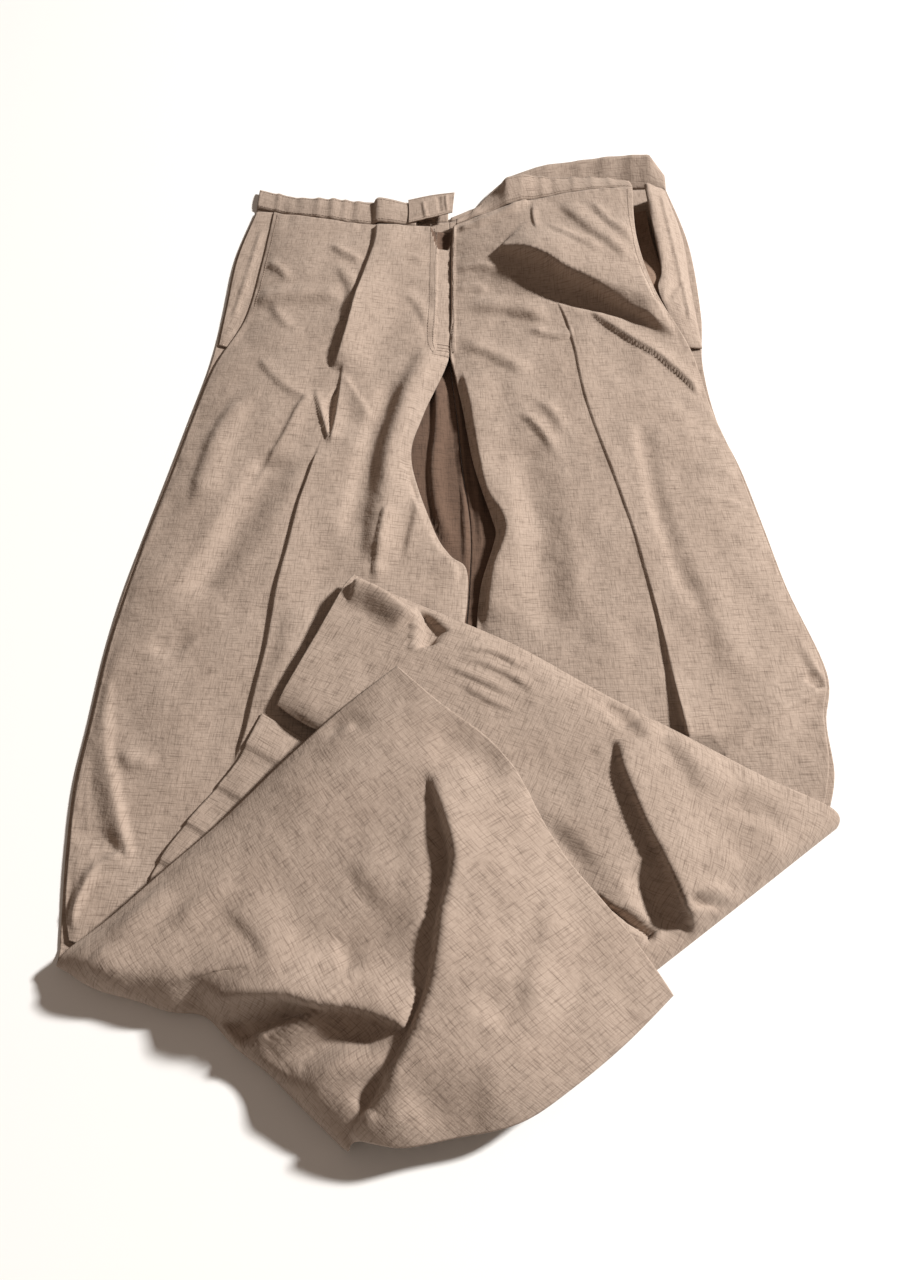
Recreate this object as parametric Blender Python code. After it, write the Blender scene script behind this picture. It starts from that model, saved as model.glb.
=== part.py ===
# Wide linen trousers laid on a flat surface, waist away from the viewer, both lower legs folded up.
# Metres, +Z up, X across the waist, +Y from the hems towards the waist.
# The wearer's right leg lies at -X. Its lower part is folded up over the other one.

import math
from collections import namedtuple

import bmesh
import bpy
from mathutils import Vector
from mathutils.bvhtree import BVHTree

# Driving dimensions, in metres
CLOTH = 0.0015            # wall of one layer
SEAM_GAP = 0.0003         # between two pieces that are sewn or lie on each other
FILL_GAP = 0.0008         # between a panel and the hidden layers that fill it
WAISTBAND_HEIGHT = 0.035
SOFTENING_PASSES = 2
FOLD_TAPER = 0.04         # length over which a fold fades at each end
FOLD_END_SHARE = 0.25     # share of its height that a fold keeps at its ends
FACET_REACH = 0.014       # how far around a point the layers below are felt
UPPER_LAYER = 2 * CLOTH + SEAM_GAP    # top of a panel that lies on one other layer
MM = 0.001                # the tables below are in millimetres
CENTRE_X = -1.0           # middle of the laid garment in the tables, in millimetres
CENTRE_Y = -8.9

# Cells across a panel, and how flat its middle is (a higher power gives a flatter middle)
CELLS_ACROSS = 14
EDGE_CROWDING = 0.1
THIGH_POWER = 4
FOLDED_POWER = 6

LINEN = (0.56, 0.43, 0.33)
SHADED_LINEN = (0.42, 0.31, 0.23)

Section = namedtuple("Section", "name cells left middle right")
Fold = namedtuple("Fold", "name height steep gentle path")
Rise = namedtuple("Rise", "across out up")

# Front of the right leg. left is the pocket edge, then the side seam. right is the fly, then the inseam.
FRONT_RIGHT = [
    Section("waist", 3, (-182, 379, 5.4), (-106, 354, 11), (-8, 348, 8)),
    Section("hip", 3, (-186, 300, 5.4), (-100, 288, 14), (-10, 295, 9)),
    Section("pocket", 3, (-193, 222, 5.4), (-103, 215, 14), (-10, 224, 9)),
    Section("crotch", 3, (-206, 161, 5.0), (-108, 152, 14), (-11, 165, 8)),
    Section("upper thigh", 3, (-214, 100, 3.3), (-117, 92, 14), (-32, 97, 7)),
    Section("thigh", 3, (-224, 38, 3.3), (-129, 31, 13), (-41, 46, 7)),
    Section("lower thigh", 3, (-233, -25, 3.3), (-131, -30, 13), (-22, -24, 6)),
    Section("above knee", 3, (-241, -82, 3.3), (-127, -88, 13), (-3, -69, 5)),
    Section("knee", 3, (-247, -136, 3.3), (-125, -148, 11), (-2, -137, 4.5)),
    Section("below knee", 2, (-249, -189, 3.3), (-127, -205, 9), (-6, -202, 4.5)),
    Section("shin", 2, (-250, -243, 3.3), (-132, -263, 7), (-14, -261, 4.5)),
    Section("lower shin", 2, (-246, -289, 3.3), (-140, -309, 5), (-28, -315, 4.5)),
    Section("above fold", 2, (-240, -325, 3.3), (-148, -353, 5), (-44, -377, 4.5)),
    Section("fold", 0, (-233, -345, 4), (-151, -388, 5), (-70, -438, 4.5)),
]

# Back of the right leg: flat on the surface, round the fold, then outside up to the hem
BACK_RIGHT = [
    Section("waist", 1, (-200, 382, 1.5), (-108, 366, 1.5), (-11.15, 366, 1.5)),
    Section("hip", 1, (-212, 311, 1.5), (-105, 311, 1.5), (-10.15, 311, 1.5)),
    Section("pocket", 1, (-214, 232, 1.5), (-105, 232, 1.5), (-10.15, 232, 1.5)),
    Section("crotch", 1, (-218, 163, 1.5), (-110, 163, 1.5), (-10.15, 167, 1.5)),
    Section("upper thigh", 1, (-227, 96, 1.5), (-118, 96, 1.5), (-4.15, 96, 1.5)),
    Section("thigh", 1, (-235, 38, 1.5), (-131, 38, 1.5), (-0.15, 40, 1.5)),
    Section("lower thigh", 1, (-244, -25, 1.5), (-133, -25, 1.5), (5.85, -23, 1.5)),
    Section("above knee", 1, (-252, -84, 1.5), (-128, -84, 1.5), (4, -81, 1.5)),
    Section("knee", 1, (-256, -138, 1.5), (-127, -143, 1.5), (0, -134, 1.5)),
    Section("below knee", 1, (-257, -196, 1.5), (-129, -200, 1.5), (-4, -200, 1.5)),
    Section("shin", 1, (-258, -241, 1.5), (-133, -260, 1.5), (-10, -260, 1.5)),
    Section("lower shin", 1, (-254, -287, 1.5), (-141, -308, 1.5), (-24, -314, 1.5)),
    Section("above fold", 2, (-249, -324, 1.5), (-148, -352, 1.5), (-40, -376, 1.5)),
    Section("fold underside", 3, (-245, -351, 1.5), (-151, -393, 1.5), (-67, -449, 1.5)),
    Section("fold edge", 3, (-242, -363, 9), (-149, -403, 12), (-64, -464, 9)),
    Section("fold top", 3, (-235, -357, 15), (-147, -393, 27), (-59, -461, 16)),
    Section("over the fold", 5, (-214, -338, 15), (-121, -388, 32), (-35, -465, 17)),
    Section("calf", 5, (-185, -307, 15), (-88, -380, 34), (-7, -460, 18)),
    Section("middle", 5, (-152, -273, 16), (-55, -367, 36), (29, -452, 20)),
    Section("ankle", 5, (-114, -232, 22), (-22, -340, 38), (60, -433, 21)),
    Section("hem top", 3, (-79, -199, 30), (8, -311, 37), (89, -411, 21)),
    Section("hem", 0, (-45, -170, 35), (43, -280, 34), (118, -385, 21)),
]

# Front of the left leg. left is the fly, then the inseam. right is the pocket edge, then the side seam.
FRONT_LEFT = [
    Section("waist", 3, (-4, 345, 9), (72, 376, 21), (165, 385, 28)),
    Section("hip", 3, (-4, 295, 9), (89, 286, 31), (160, 299, 34)),
    Section("pocket", 3, (-4, 224, 9), (96, 222, 17), (171, 230, 28)),
    Section("crotch", 3, (-5, 165, 8), (98, 165, 13), (193, 178, 10)),
    Section("upper thigh", 3, (1, 100, 7), (102, 101, 12), (203, 112, 3.3)),
    Section("thigh", 3, (9, 40, 7), (113, 39, 12), (213, 51, 3.3)),
    Section("lower thigh", 3, (24, -26, 6), (131, -27, 12), (228, -17, 3.3)),
    Section("above knee", 3, (12, -83, 5), (136, -88, 12), (240, -78, 3.3)),
    Section("knee", 3, (9, -137, 4.5), (141, -145, 11), (249, -137, 3.4)),
    Section("below knee", 2, (9, -194, 4.5), (140, -201, 9), (248, -180, 6)),
    Section("shin", 2, (9, -254, 4.5), (127, -254, 5), (238, -222, 5)),
    Section("above fold", 2, (10, -309, 4.5), (114, -300, 5), (228, -253, 4.5)),
    Section("fold", 0, (18, -392, 4.5), (92, -346, 5), (217, -270, 4.5)),
]

# Back of the left leg: flat on the surface, round the fold, then outside across to the left
BACK_LEFT = [
    Section("waist", 1, (-10.85, 366, 1.5), (99, 408, 1.5), (205, 419, 1.5)),
    Section("hip", 1, (-9.85, 311, 1.5), (104, 331, 1.5), (217, 331, 1.5)),
    Section("pocket", 1, (-9.85, 232, 1.5), (108, 243, 1.5), (216, 229, 1.5)),
    Section("crotch", 1, (-9.85, 167, 1.5), (112, 167, 1.5), (209, 163, 1.5)),
    Section("upper thigh", 1, (-3.85, 96, 1.5), (115, 96, 1.5), (212, 96, 1.5)),
    Section("thigh", 1, (0.15, 40, 1.5), (127, 40, 1.5), (221, 40, 1.5)),
    Section("lower thigh", 1, (6.15, -23, 1.5), (137, -23, 1.5), (236, -23, 1.5)),
    Section("above knee", 1, (9, -81, 1.5), (139, -81, 1.5), (247, -81, 1.5)),
    Section("knee", 1, (8, -134, 1.5), (140, -138, 1.5), (256, -138, 1.5)),
    Section("below knee", 1, (7, -200, 1.5), (137, -200, 1.5), (254, -188, 1.5)),
    Section("shin", 1, (7, -260, 1.5), (128, -252, 1.5), (246, -232, 1.5)),
    Section("above fold", 2, (8, -314, 1.5), (109, -308, 1.5), (238, -260, 1.5)),
    Section("fold underside", 3, (30, -411, 1.5), (112, -346, 1.5), (233, -272, 1.5)),
    Section("fold edge", 3, (30, -424, 7), (127, -355, 10), (238, -279, 10)),
    Section("fold top", 3, (36, -407, 12), (120, -341, 21), (236, -270, 14)),
    Section("over the fold", 4, (58, -369, 17), (128, -306, 25), (194, -244, 16)),
    Section("calf", 4, (62, -328, 19), (106, -279, 27), (149, -216, 17)),
    Section("middle", 4, (37, -295, 20), (61, -240, 27), (91, -180, 18)),
    Section("ankle", 4, (3, -251, 20), (17, -202, 26), (32, -141, 19)),
    Section("hem top", 3, (-95, -230, 18), (-76, -172, 24), (-47, -101, 20)),
    Section("hem", 0, (-128, -211, 18), (-109, -153, 24), (-80, -82, 21)),
]

# Folds, each along a path of (x, y). The steep side is on the right of a walk along the path.
FRONT_RIGHT_FOLDS = [
    Fold("waist tuck", 9, 18, 30, [(-77, 352), (-78, 302), (-90, 227), (-100, 160), (-109, 134)]),
    Fold("pressed crease", 7, 20, 50, [(-108, 80), (-112, 51), (-122, -7), (-131, -88), (-143, -209)]),
    Fold("crumple", 5, 12, 16, [(-120, 125), (-103, 76)]),
    Fold("inner ridge", 6, 22, 26, [(-53, 101), (-65, 26), (-74, -64), (-80, -92)]),
    Fold("long hollow", -4, 26, 30, [(-149, 53), (-174, -25), (-198, -93)]),
]
FRONT_LEFT_FOLDS = [
    Fold("pocket ridge", 13, 22, 60, [(64, 305), (88, 270), (133, 226), (171, 202), (177, 173)]),
    Fold("pressed crease", 7, 20, 55, [(87, 232), (97, 187), (115, 50), (130, -30), (142, -142), (140, -214)]),
    Fold("side wrinkle", 4, 12, 22, [(124, 192), (158, 153), (190, 116)]),
    Fold("inner hollow", -3, 28, 28, [(53, 65), (58, -40), (62, -124)]),
]
CROSSING_FOLDS = [
    Fold("knee ridge", 12, 22, 45, [(105, -224), (109, -263), (125, -314), (129, -338)]),
    Fold("edge tuck", 4, 20, 26, [(-35, -162), (-37, -122)]),
]
TOP_LEG_FOLDS = [
    Fold("main ridge", 22, 26, 80,
         [(-17, -266), (-5, -309), (-9, -345), (-15, -381), (-28, -415), (-50, -450)]),
    Fold("fold roll", 9, 20, 46, [(-214, -372), (-160, -385), (-131, -384), (-97, -385), (-81, -394)]),
    Fold("dark hollow", -8, 34, 30, [(-51, -319), (-61, -367), (-76, -405)]),
]

# Waistband rises at stations across each panel: out along +Y and up, in millimetres
BAND_FRONT_RIGHT = [Rise(-0.10, 30, 0), Rise(0.1, 31, 0.5), Rise(0.45, 35, 1), Rise(0.8, 34, 1)]
BAND_FRONT_LEFT = [
    Rise(0.02, 30, 1), Rise(0.18, 30, -1), Rise(0.30, 29, 7), Rise(0.42, 29, 7),
    Rise(0.60, 30, -3), Rise(0.86, 29, -8), Rise(1.0, 28, -12),
]
BAND_BACK_RIGHT = [Rise(0.0, 31, 0), Rise(0.5, 33, 0), Rise(0.995, 34, 0)]
BAND_BACK_LEFT = [
    Rise(0.005, 34, 0), Rise(0.2, 32, 10), Rise(0.4, 31, 16), Rise(0.6, 31, 16),
    Rise(0.8, 29, 19), Rise(0.92, 27, 21), Rise(1.0, 18, 4),
]

# Pieces that lie between the pocket edge and the side seam, sections from the waist down
SIDE_RIGHT = [
    Section("waist", 3, (-199, 380, 3.3), (-184, 379, 3.3), (-170, 377, 3.3)),
    Section("hip", 3, (-210, 308, 3.3), (-191, 306, 3.3), (-172, 303, 3.3)),
    Section("pocket", 3, (-212, 237, 3.3), (-196, 231, 3.3), (-180, 224, 3.3)),
    Section("tack", 0, (-213, 187, 3.3), (-208, 185, 3.3), (-203, 184, 3.3)),
]
SIDE_LEFT = [
    Section("waist", 3, (162, 397, 10), (183, 397, 27), (203, 412, 3.3)),
    Section("hip", 3, (160, 318, 10), (182, 314, 27), (214, 331, 3.3)),
    Section("pocket", 3, (166, 250, 10), (187, 246, 24), (214, 256, 3.3)),
    Section("tack", 0, (192, 196, 5), (201, 198, 8), (211, 200, 3.3)),
]

# The tab that closes the waist: sections along it, from its lower edge to its upper one
TAB = [
    Section("root", 3, (-50, 349, 13.4), (-50, 366, 14.2), (-51, 383, 14.4)),
    Section("over the fly", 3, (-29, 356, 14), (-28, 373, 15), (-28, 390, 15)),
    Section("end", 0, (-8, 366, 13), (-7, 381, 14), (-6, 396, 14)),
]

# Hem of the left leg's under layer, seen past the fold: sections along the hem, outer edge first
UNDER_HEM = [
    Section("upper end", 4, (-137, -194, 0), (-121, -203, 0), (-105, -213, 0)),
    Section("first pleat", 4, (-150, -228, 0), (-133, -238, 0), (-117, -247, 0)),
    Section("second pleat", 4, (-172, -262, 0), (-155, -272, 0), (-138, -282, 0)),
    Section("third pleat", 4, (-190, -292, 0), (-174, -301, 0), (-158, -310, 0)),
    Section("lower end", 0, (-203, -328, 0), (-190, -335, 0), (-178, -342, 0)),
]
PLEAT_HEIGHT = 0.002
PLEATS = 4

FLY_TOP_ROW = 2           # the fly starts this many rows below the waist
FLY_COLUMNS = 3
FILL_INSET = 4            # rows between a fold and the solid of hidden layers


def spline(a, b, c, d, t):
    """A smooth curve from b to c that passes through all four values."""
    return 0.5 * (2 * b + (c - a) * t + (2 * a - 5 * b + 4 * c - d) * t * t
                  + (3 * b - a - 3 * c + d) * t * t * t)


def placed(x, y, z=0.0):
    """A table's point in metres, from the middle of the laid garment."""
    return Vector(((x - CENTRE_X) * MM, (y - CENTRE_Y) * MM, z * MM))


def across_section(section, u, power=THIGH_POWER):
    """A point u of the way across a section: bowed in plan, crowned in height."""
    left, middle, right = (placed(*p) for p in section[2:])
    point = left * (1 - u) * (1 - 2 * u) + middle * 4 * u * (1 - u) + right * u * (2 * u - 1)
    crown = middle.z - (left.z + right.z) / 2
    point.z = left.z + (right.z - left.z) * u + crown * max(1 - abs(2 * u - 1) ** power, 0.0)
    return point


def spread_columns(cells):
    """Stations across a panel, closer together near its edges."""
    angles = [math.pi * (EDGE_CROWDING + (1 - 2 * EDGE_CROWDING) * i / cells) for i in range(cells + 1)]
    first, last = math.cos(angles[0]), math.cos(angles[-1])
    return [(first - math.cos(angle)) / (first - last) for angle in angles]


def row_of(sections, name):
    """Number of the row of points that runs through a named section."""
    index = [section.name for section in sections].index(name)
    return sum(section.cells for section in sections[:index])


def rows_along(sections):
    """(section index, fraction) of each row of points along a panel."""
    rows = [(i, k / section.cells) for i, section in enumerate(sections) for k in range(section.cells)]
    return rows + [(len(sections) - 1, 0.0)]


def sheet_points(sections, columns, lowest=UPPER_LAYER, power=THIGH_POWER):
    """Rows of points through the sections."""
    count = len(sections)
    grid = []
    for index, t in rows_along(sections):
        near = [sections[min(max(index + k, 0), count - 1)] for k in (-1, 0, 1, 2)]
        row = []
        for u in columns:
            point = spline(*(across_section(section, u, power) for section in near), t)
            point.z = max(point.z, lowest)
            row.append(point)
        grid.append(row)
    return grid


def fold_height(fold, point):
    """Height that one fold adds at a point, from its distance to the fold's path."""
    best = None
    travelled = 0.0
    total = sum(math.dist(a, b) for a, b in zip(fold.path, fold.path[1:])) * MM
    for start, end in zip(fold.path, fold.path[1:]):
        a = placed(*start).xy
        b = placed(*end).xy
        run = b - a
        length = run.length
        part = min(max((point.xy - a).dot(run) / length ** 2, 0.0), 1.0)
        offset = point.xy - (a + run * part)
        if best is None or offset.length < best[0]:
            on_right = run.x * offset.y - run.y * offset.x < 0
            best = (offset.length, on_right, travelled + part * length)
        travelled += length
    distance, on_right, place = best
    width = (fold.steep if on_right else fold.gentle) * MM
    if distance >= width:
        return 0.0
    inside = min(min(place, total - place) / min(total / 3, FOLD_TAPER), 1.0)
    fade = FOLD_END_SHARE + (1 - FOLD_END_SHARE) * inside
    return fold.height * MM * fade * (0.5 + 0.5 * math.cos(math.pi * distance / width))


def raise_folds(grid, folds, first_row=0):
    """Lifts the points of a sheet along its folds. Edges stay where they are sewn."""
    for row in grid[first_row:]:
        for column, point in enumerate(row):
            edge = min(column, len(row) - 1 - column)
            share = min(1.0, edge / 2)
            lift = sum(fold_height(fold, point) for fold in folds)
            point.z = max(point.z + share * lift, CLOTH)
    soften(grid, first_row)


def soften(grid, first_row):
    """Evens out the heights of neighbouring points, twice, so that slanting folds run smoothly."""
    for _ in range(SOFTENING_PASSES):
        before = [[point.z for point in row] for row in grid]
        for i in range(max(first_row, 1), len(grid) - 1):
            for j in range(1, len(grid[i]) - 1):
                around = before[i - 1][j] + before[i + 1][j] + before[i][j - 1] + before[i][j + 1]
                grid[i][j].z = 0.5 * before[i][j] + 0.125 * around


def grid_normals(grid):
    """The upward side of a sheet at each of its points."""
    rows, columns = len(grid), len(grid[0])
    normals = []
    for i in range(rows):
        line = []
        for j in range(columns):
            along = grid[min(i + 1, rows - 1)][j] - grid[max(i - 1, 0)][j]
            across = grid[i][min(j + 1, columns - 1)] - grid[i][max(j - 1, 0)]
            line.append(along.cross(across).normalized())
        normals.append(line)
    return normals


def make_material(name, colour, roughness=0.85):
    material = bpy.data.materials.new(name)
    material.use_nodes = True
    shader = material.node_tree.nodes["Principled BSDF"]
    shader.inputs["Base Color"].default_value = (*colour, 1.0)
    shader.inputs["Roughness"].default_value = roughness
    shader.inputs["Metallic"].default_value = 0.0
    return material


def add_object(name, bm, colour):
    mesh = bpy.data.meshes.new(name)
    bm.to_mesh(mesh)
    bm.free()
    mesh.shade_smooth()
    item = bpy.data.objects.new(name, mesh)
    item.data.materials.append(make_material(name, colour))
    bpy.context.scene.collection.objects.link(item)
    return item


def grid_mesh(grid):
    """A bmesh grid whose points are moved onto the rows of a sheet."""
    rows, columns = len(grid), len(grid[0])
    bm = bmesh.new()
    bmesh.ops.create_grid(bm, x_segments=columns - 1, y_segments=rows - 1, size=0.5)
    for vert in bm.verts:
        column = round((vert.co.x + 0.5) * (columns - 1))
        row = round((0.5 - vert.co.y) * (rows - 1))
        vert.co = grid[row][column]
    return bm


def make_sheet(name, grid, colour=LINEN):
    """A cloth wall under the points of a sheet."""
    item = add_object(name, grid_mesh(grid), colour)
    wall = item.modifiers.new("wall", 'SOLIDIFY')
    wall.thickness = CLOTH
    wall.offset = -1
    return item


def make_patch(name, grid, rows, columns, lift, colour=LINEN):
    """A piece that lies on a panel, made from the panel's points, moved out."""
    normals = grid_normals(grid)
    patch = [[grid[i][j] + normals[i][j] * lift for j in columns] for i in rows]
    return make_sheet(name, patch, colour)


def make_fill(name, flat, grid, rows, columns, tree, colour=SHADED_LINEN):
    """The hidden layers inside a folded leg: one solid under its panel, resting on what lies below."""
    top = [[Vector((*grid[i][j].xy, min(flat[i][j].z, grid[i][j].z) - FILL_GAP)) for j in columns]
           for i in rows]
    for i, row in enumerate(top):
        for j, point in enumerate(row):
            if i in (0, len(top) - 1) or j in (0, len(row) - 1):
                base = height_near(tree, point) + FILL_GAP
                point.z = base + max((point.z - base) * 0.6, CLOTH)
    bm = grid_mesh(top)
    grown = bmesh.ops.extrude_face_region(bm, geom=bm.faces[:])
    for vert in grown["geom"]:
        if isinstance(vert, bmesh.types.BMVert):
            vert.co.z = height_near(tree, vert.co) + FILL_GAP
    bmesh.ops.recalc_face_normals(bm, faces=bm.faces[:])
    return add_object(name, bm, colour)


def make_band(name, sections, rises, cells):
    """A waistband piece that starts at a panel's waist edge and rises from it."""
    grid = []
    for k in range(cells + 1):
        u = rises[0].across + (rises[-1].across - rises[0].across) * k / cells
        after = next(i for i, rise in enumerate(rises) if u <= rise.across + 1e-9)
        before = rises[max(after - 1, 0)]
        rise = rises[after]
        span = max(rise.across - before.across, 1e-6)
        t = min(max((u - before.across) / span, 0.0), 1.0)
        out = (before.out + (rise.out - before.out) * t) * MM
        up = (before.up + (rise.up - before.up) * t) * MM
        foot = across_section(sections[0], u)
        foot.y += SEAM_GAP + 0.0001
        foot.z = max(foot.z, CLOTH)
        reach = WAISTBAND_HEIGHT / math.hypot(out, up)
        top = foot + Vector((0, out, up)) * min(reach, 1.0)
        bulge = Vector((0, -up, out)).normalized() * 0.001
        middle = (foot + top) / 2 + bulge * (1 if up > 0.002 else 0)
        grid.append([foot, middle, top])
    return make_sheet(name, [list(line) for line in zip(*grid)][::-1])


def surface_tree(items):
    """A search tree over the evaluated faces of some pieces."""
    corners = []
    faces = []
    graph = bpy.context.evaluated_depsgraph_get()
    for item in items:
        mesh = item.evaluated_get(graph).to_mesh()
        first = len(corners)
        corners += [vert.co.copy() for vert in mesh.vertices]
        faces += [[first + index for index in face.vertices] for face in mesh.polygons]
    return BVHTree.FromPolygons(corners, faces)


def height_of(tree, point):
    hit = tree.ray_cast(Vector((point.x, point.y, 1.0)), Vector((0, 0, -1)))
    return hit[0].z if hit[0] else 0.0


def height_near(tree, point):
    """The highest point of what lies below, within a facet's reach."""
    steps = [k * FACET_REACH / 2 for k in (-2, -1, 0, 1, 2)]
    return max(height_of(tree, Vector((point.x + i, point.y + j, 0))) for i in steps for j in steps)


def lay_on(grid, tree):
    """Drops a sheet onto what lies under it."""
    for row in grid:
        for point in row:
            point.z = height_near(tree, point) + SEAM_GAP + CLOTH


def build():
    for item in list(bpy.data.objects):
        bpy.data.objects.remove(item, do_unlink=True)
    columns = spread_columns(CELLS_ACROSS)
    all_columns = range(CELLS_ACROSS + 1)
    lift = SEAM_GAP + CLOTH

    back_right = sheet_points(BACK_RIGHT, columns, CLOTH, FOLDED_POWER)
    flat_right = [[point.copy() for point in row] for row in back_right]
    folded_row = row_of(BACK_RIGHT, "fold top")
    raise_folds(back_right, TOP_LEG_FOLDS, folded_row)
    make_sheet("back_leg_right", back_right)

    back_left = sheet_points(BACK_LEFT, columns, CLOTH, FOLDED_POWER)
    flat_left = [[point.copy() for point in row] for row in back_left]
    crossing_row = row_of(BACK_LEFT, "fold top")
    raise_folds(back_left, CROSSING_FOLDS, crossing_row)
    left_outside = make_sheet("back_leg_left", back_left)

    front_right = sheet_points(FRONT_RIGHT, columns)
    raise_folds(front_right, FRONT_RIGHT_FOLDS)
    right_panel = make_sheet("front_leg_right", front_right)

    front_left = sheet_points(FRONT_LEFT, columns)
    raise_folds(front_left, FRONT_LEFT_FOLDS)
    left_panel = make_sheet("front_leg_left", front_left)

    make_sheet("side_piece_right", sheet_points(SIDE_RIGHT, spread_columns(4)))
    make_sheet("side_piece_left", sheet_points(SIDE_LEFT, spread_columns(6)))

    make_band("waistband_front_right", FRONT_RIGHT, BAND_FRONT_RIGHT, 10)
    make_band("waistband_front_left", FRONT_LEFT, BAND_FRONT_LEFT, 14)
    make_band("waistband_back_right", BACK_RIGHT, BAND_BACK_RIGHT, 6)
    make_band("waistband_back_left", BACK_LEFT, BAND_BACK_LEFT, 14)
    make_sheet("waistband_tab", sheet_points(TAB, spread_columns(3)))

    fly_rows = range(FLY_TOP_ROW, row_of(FRONT_RIGHT, "crotch") + 1)
    make_patch("fly_placket", front_right, fly_rows, all_columns[-FLY_COLUMNS:], lift)
    for name, sections, grid in (("hem_leg_right", BACK_RIGHT, back_right),
                                 ("hem_leg_left", BACK_LEFT, back_left)):
        make_patch(name, grid, range(row_of(sections, "hem top"), len(grid)), all_columns, lift)

    thighs = surface_tree([right_panel, left_panel])
    fill_rows = range(crossing_row + FILL_INSET, row_of(BACK_LEFT, "hem top"))
    make_fill("hidden_layers_left_leg", flat_left, back_left, fill_rows, all_columns[2:-3], thighs)
    below = surface_tree([right_panel, left_panel, left_outside])
    fill_rows = range(folded_row + FILL_INSET, row_of(BACK_RIGHT, "ankle") + 1)
    make_fill("hidden_layers_right_leg", flat_right, back_right, fill_rows, all_columns[5:-4], below)

    under_hem = sheet_points(UNDER_HEM, spread_columns(3))
    lay_on(under_hem, thighs)
    steps = len(under_hem) - 1
    for i, row in enumerate(under_hem):
        for point in row:
            point.z += PLEAT_HEIGHT * ((i * PLEATS / steps) % 1.0)
    make_sheet("under_hem_leg_left", under_hem)


build()
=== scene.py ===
# Looks of the wide linen trousers, laid on a flat surface with both lower legs folded up.
# Metres in the finished pieces, millimetres in the tables. The waist lies at +Y and the wearer's
# right leg at -X.
import math

import bmesh
import bpy
import numpy as np
from mathutils import Matrix, Vector, noise
from mathutils.bvhtree import BVHTree


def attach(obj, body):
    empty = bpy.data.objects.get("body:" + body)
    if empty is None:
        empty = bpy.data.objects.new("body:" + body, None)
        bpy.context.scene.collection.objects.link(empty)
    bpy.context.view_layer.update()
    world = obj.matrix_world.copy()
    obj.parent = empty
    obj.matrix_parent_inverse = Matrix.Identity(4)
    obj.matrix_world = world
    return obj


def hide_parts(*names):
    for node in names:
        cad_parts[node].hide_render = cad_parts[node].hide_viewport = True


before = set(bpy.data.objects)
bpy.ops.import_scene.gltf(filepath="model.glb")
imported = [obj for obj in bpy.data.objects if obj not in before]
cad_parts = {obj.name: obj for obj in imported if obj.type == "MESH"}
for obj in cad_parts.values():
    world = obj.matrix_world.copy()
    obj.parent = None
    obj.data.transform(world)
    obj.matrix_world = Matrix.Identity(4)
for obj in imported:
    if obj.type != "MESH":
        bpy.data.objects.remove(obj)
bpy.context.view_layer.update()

# The tables lie in their own frame, whose middle is moved to the part's own here
tableMiddle = (-1.0, -8.9)
cloth = 1.2               # one layer of linen with its turned edges

# How the cloth lies in every piece
lie = {
    "edgeCrowding": 0.12,             # share of a half turn left out where columns crowd to the edges
    "creaseCrowding": 0.6,            # how much the columns crowd to a pressed crease
    "foldEnd": 0.12,                  # share of its height that a fold keeps at both ends
    "slackStretch": 1.6, "fineSlack": 0.45, "fineAcross": 2.3, "fineDown": 1.7,
    "puckerStretch": 7, "puckerStart": 3,
    "weaveOnRise": 0.6,               # how much of a rise the weave of a flat cloth follows
    "pathStep": 6.0, "creaseStep": 4.0,
    "firstLevel": 12.0, "rounds": 6,  # how the level of the cloth under a pixel is found
}

# Where the photograph was taken from, in the tables' frame, its middle pixel and its height in pixels
photo = {"focal": 1100.0, "pitch": 55.66, "place": (-8.0, -572.0, 655.0), "middle": (452.5, 640.0),
         "tall": 1280}


def onCloth(px, py, level):           # the point that a pixel shows, at a level above the surface
    tilt = math.radians(photo["pitch"])
    x, y, z = photo["place"]
    u, v = px - photo["middle"][0], py - photo["middle"][1]
    reach = (z - level) / (v * math.cos(tilt) + photo["focal"] * math.sin(tilt))
    return x + u * reach, y + (photo["focal"] * math.cos(tilt) - v * math.sin(tilt)) * reach


def eased(share):                     # from 0 to 1 with a soft start and end
    return share * share * (3 - 2 * share)


def curveThrough(points, step):       # a smooth line through a few points, any number of values each
    points = np.array(points, float)
    if len(points) < 3:
        count = max(int(np.hypot(*(points[1] - points[0])[:2]) / step), 1)
        return points[0] + (points[1] - points[0]) * np.linspace(0, 1, count + 1)[:, None]
    line = []
    for i in range(len(points) - 1):
        a, b, c, d = (points[min(max(i + k, 0), len(points) - 1)] for k in (-1, 0, 1, 2))
        count = max(int(np.hypot(*(c - b)[:2]) / step), 1)
        for t in np.arange(count) / count:
            line.append(splineAt(a, b, c, d, t))
    return np.array(line + [points[-1]])


def splineAt(a, b, c, d, t):          # between b and c, on a curve through all four
    bend = 2 * a - 5 * b + 4 * c - d
    return 0.5 * (2 * b + (c - a) * t + bend * t * t + (3 * b - a - 3 * c + d) * t ** 3)


def acrossSection(section, u, power):  # bowed in plan, crowned in height
    left, middle, right = (np.array(p, float) for p in section[1:])
    u = np.asarray(u, float)[:, None]
    line = left * (1 - u) * (1 - 2 * u) + middle * 4 * u * (1 - u) + right * u * (2 * u - 1)
    crown = middle[2] - (left[2] + right[2]) / 2
    u = u[:, 0]
    line[:, 2] = left[2] + (right[2] - left[2]) * u + crown * np.clip(1 - np.abs(2 * u - 1) ** power, 0, None)
    return line


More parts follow.
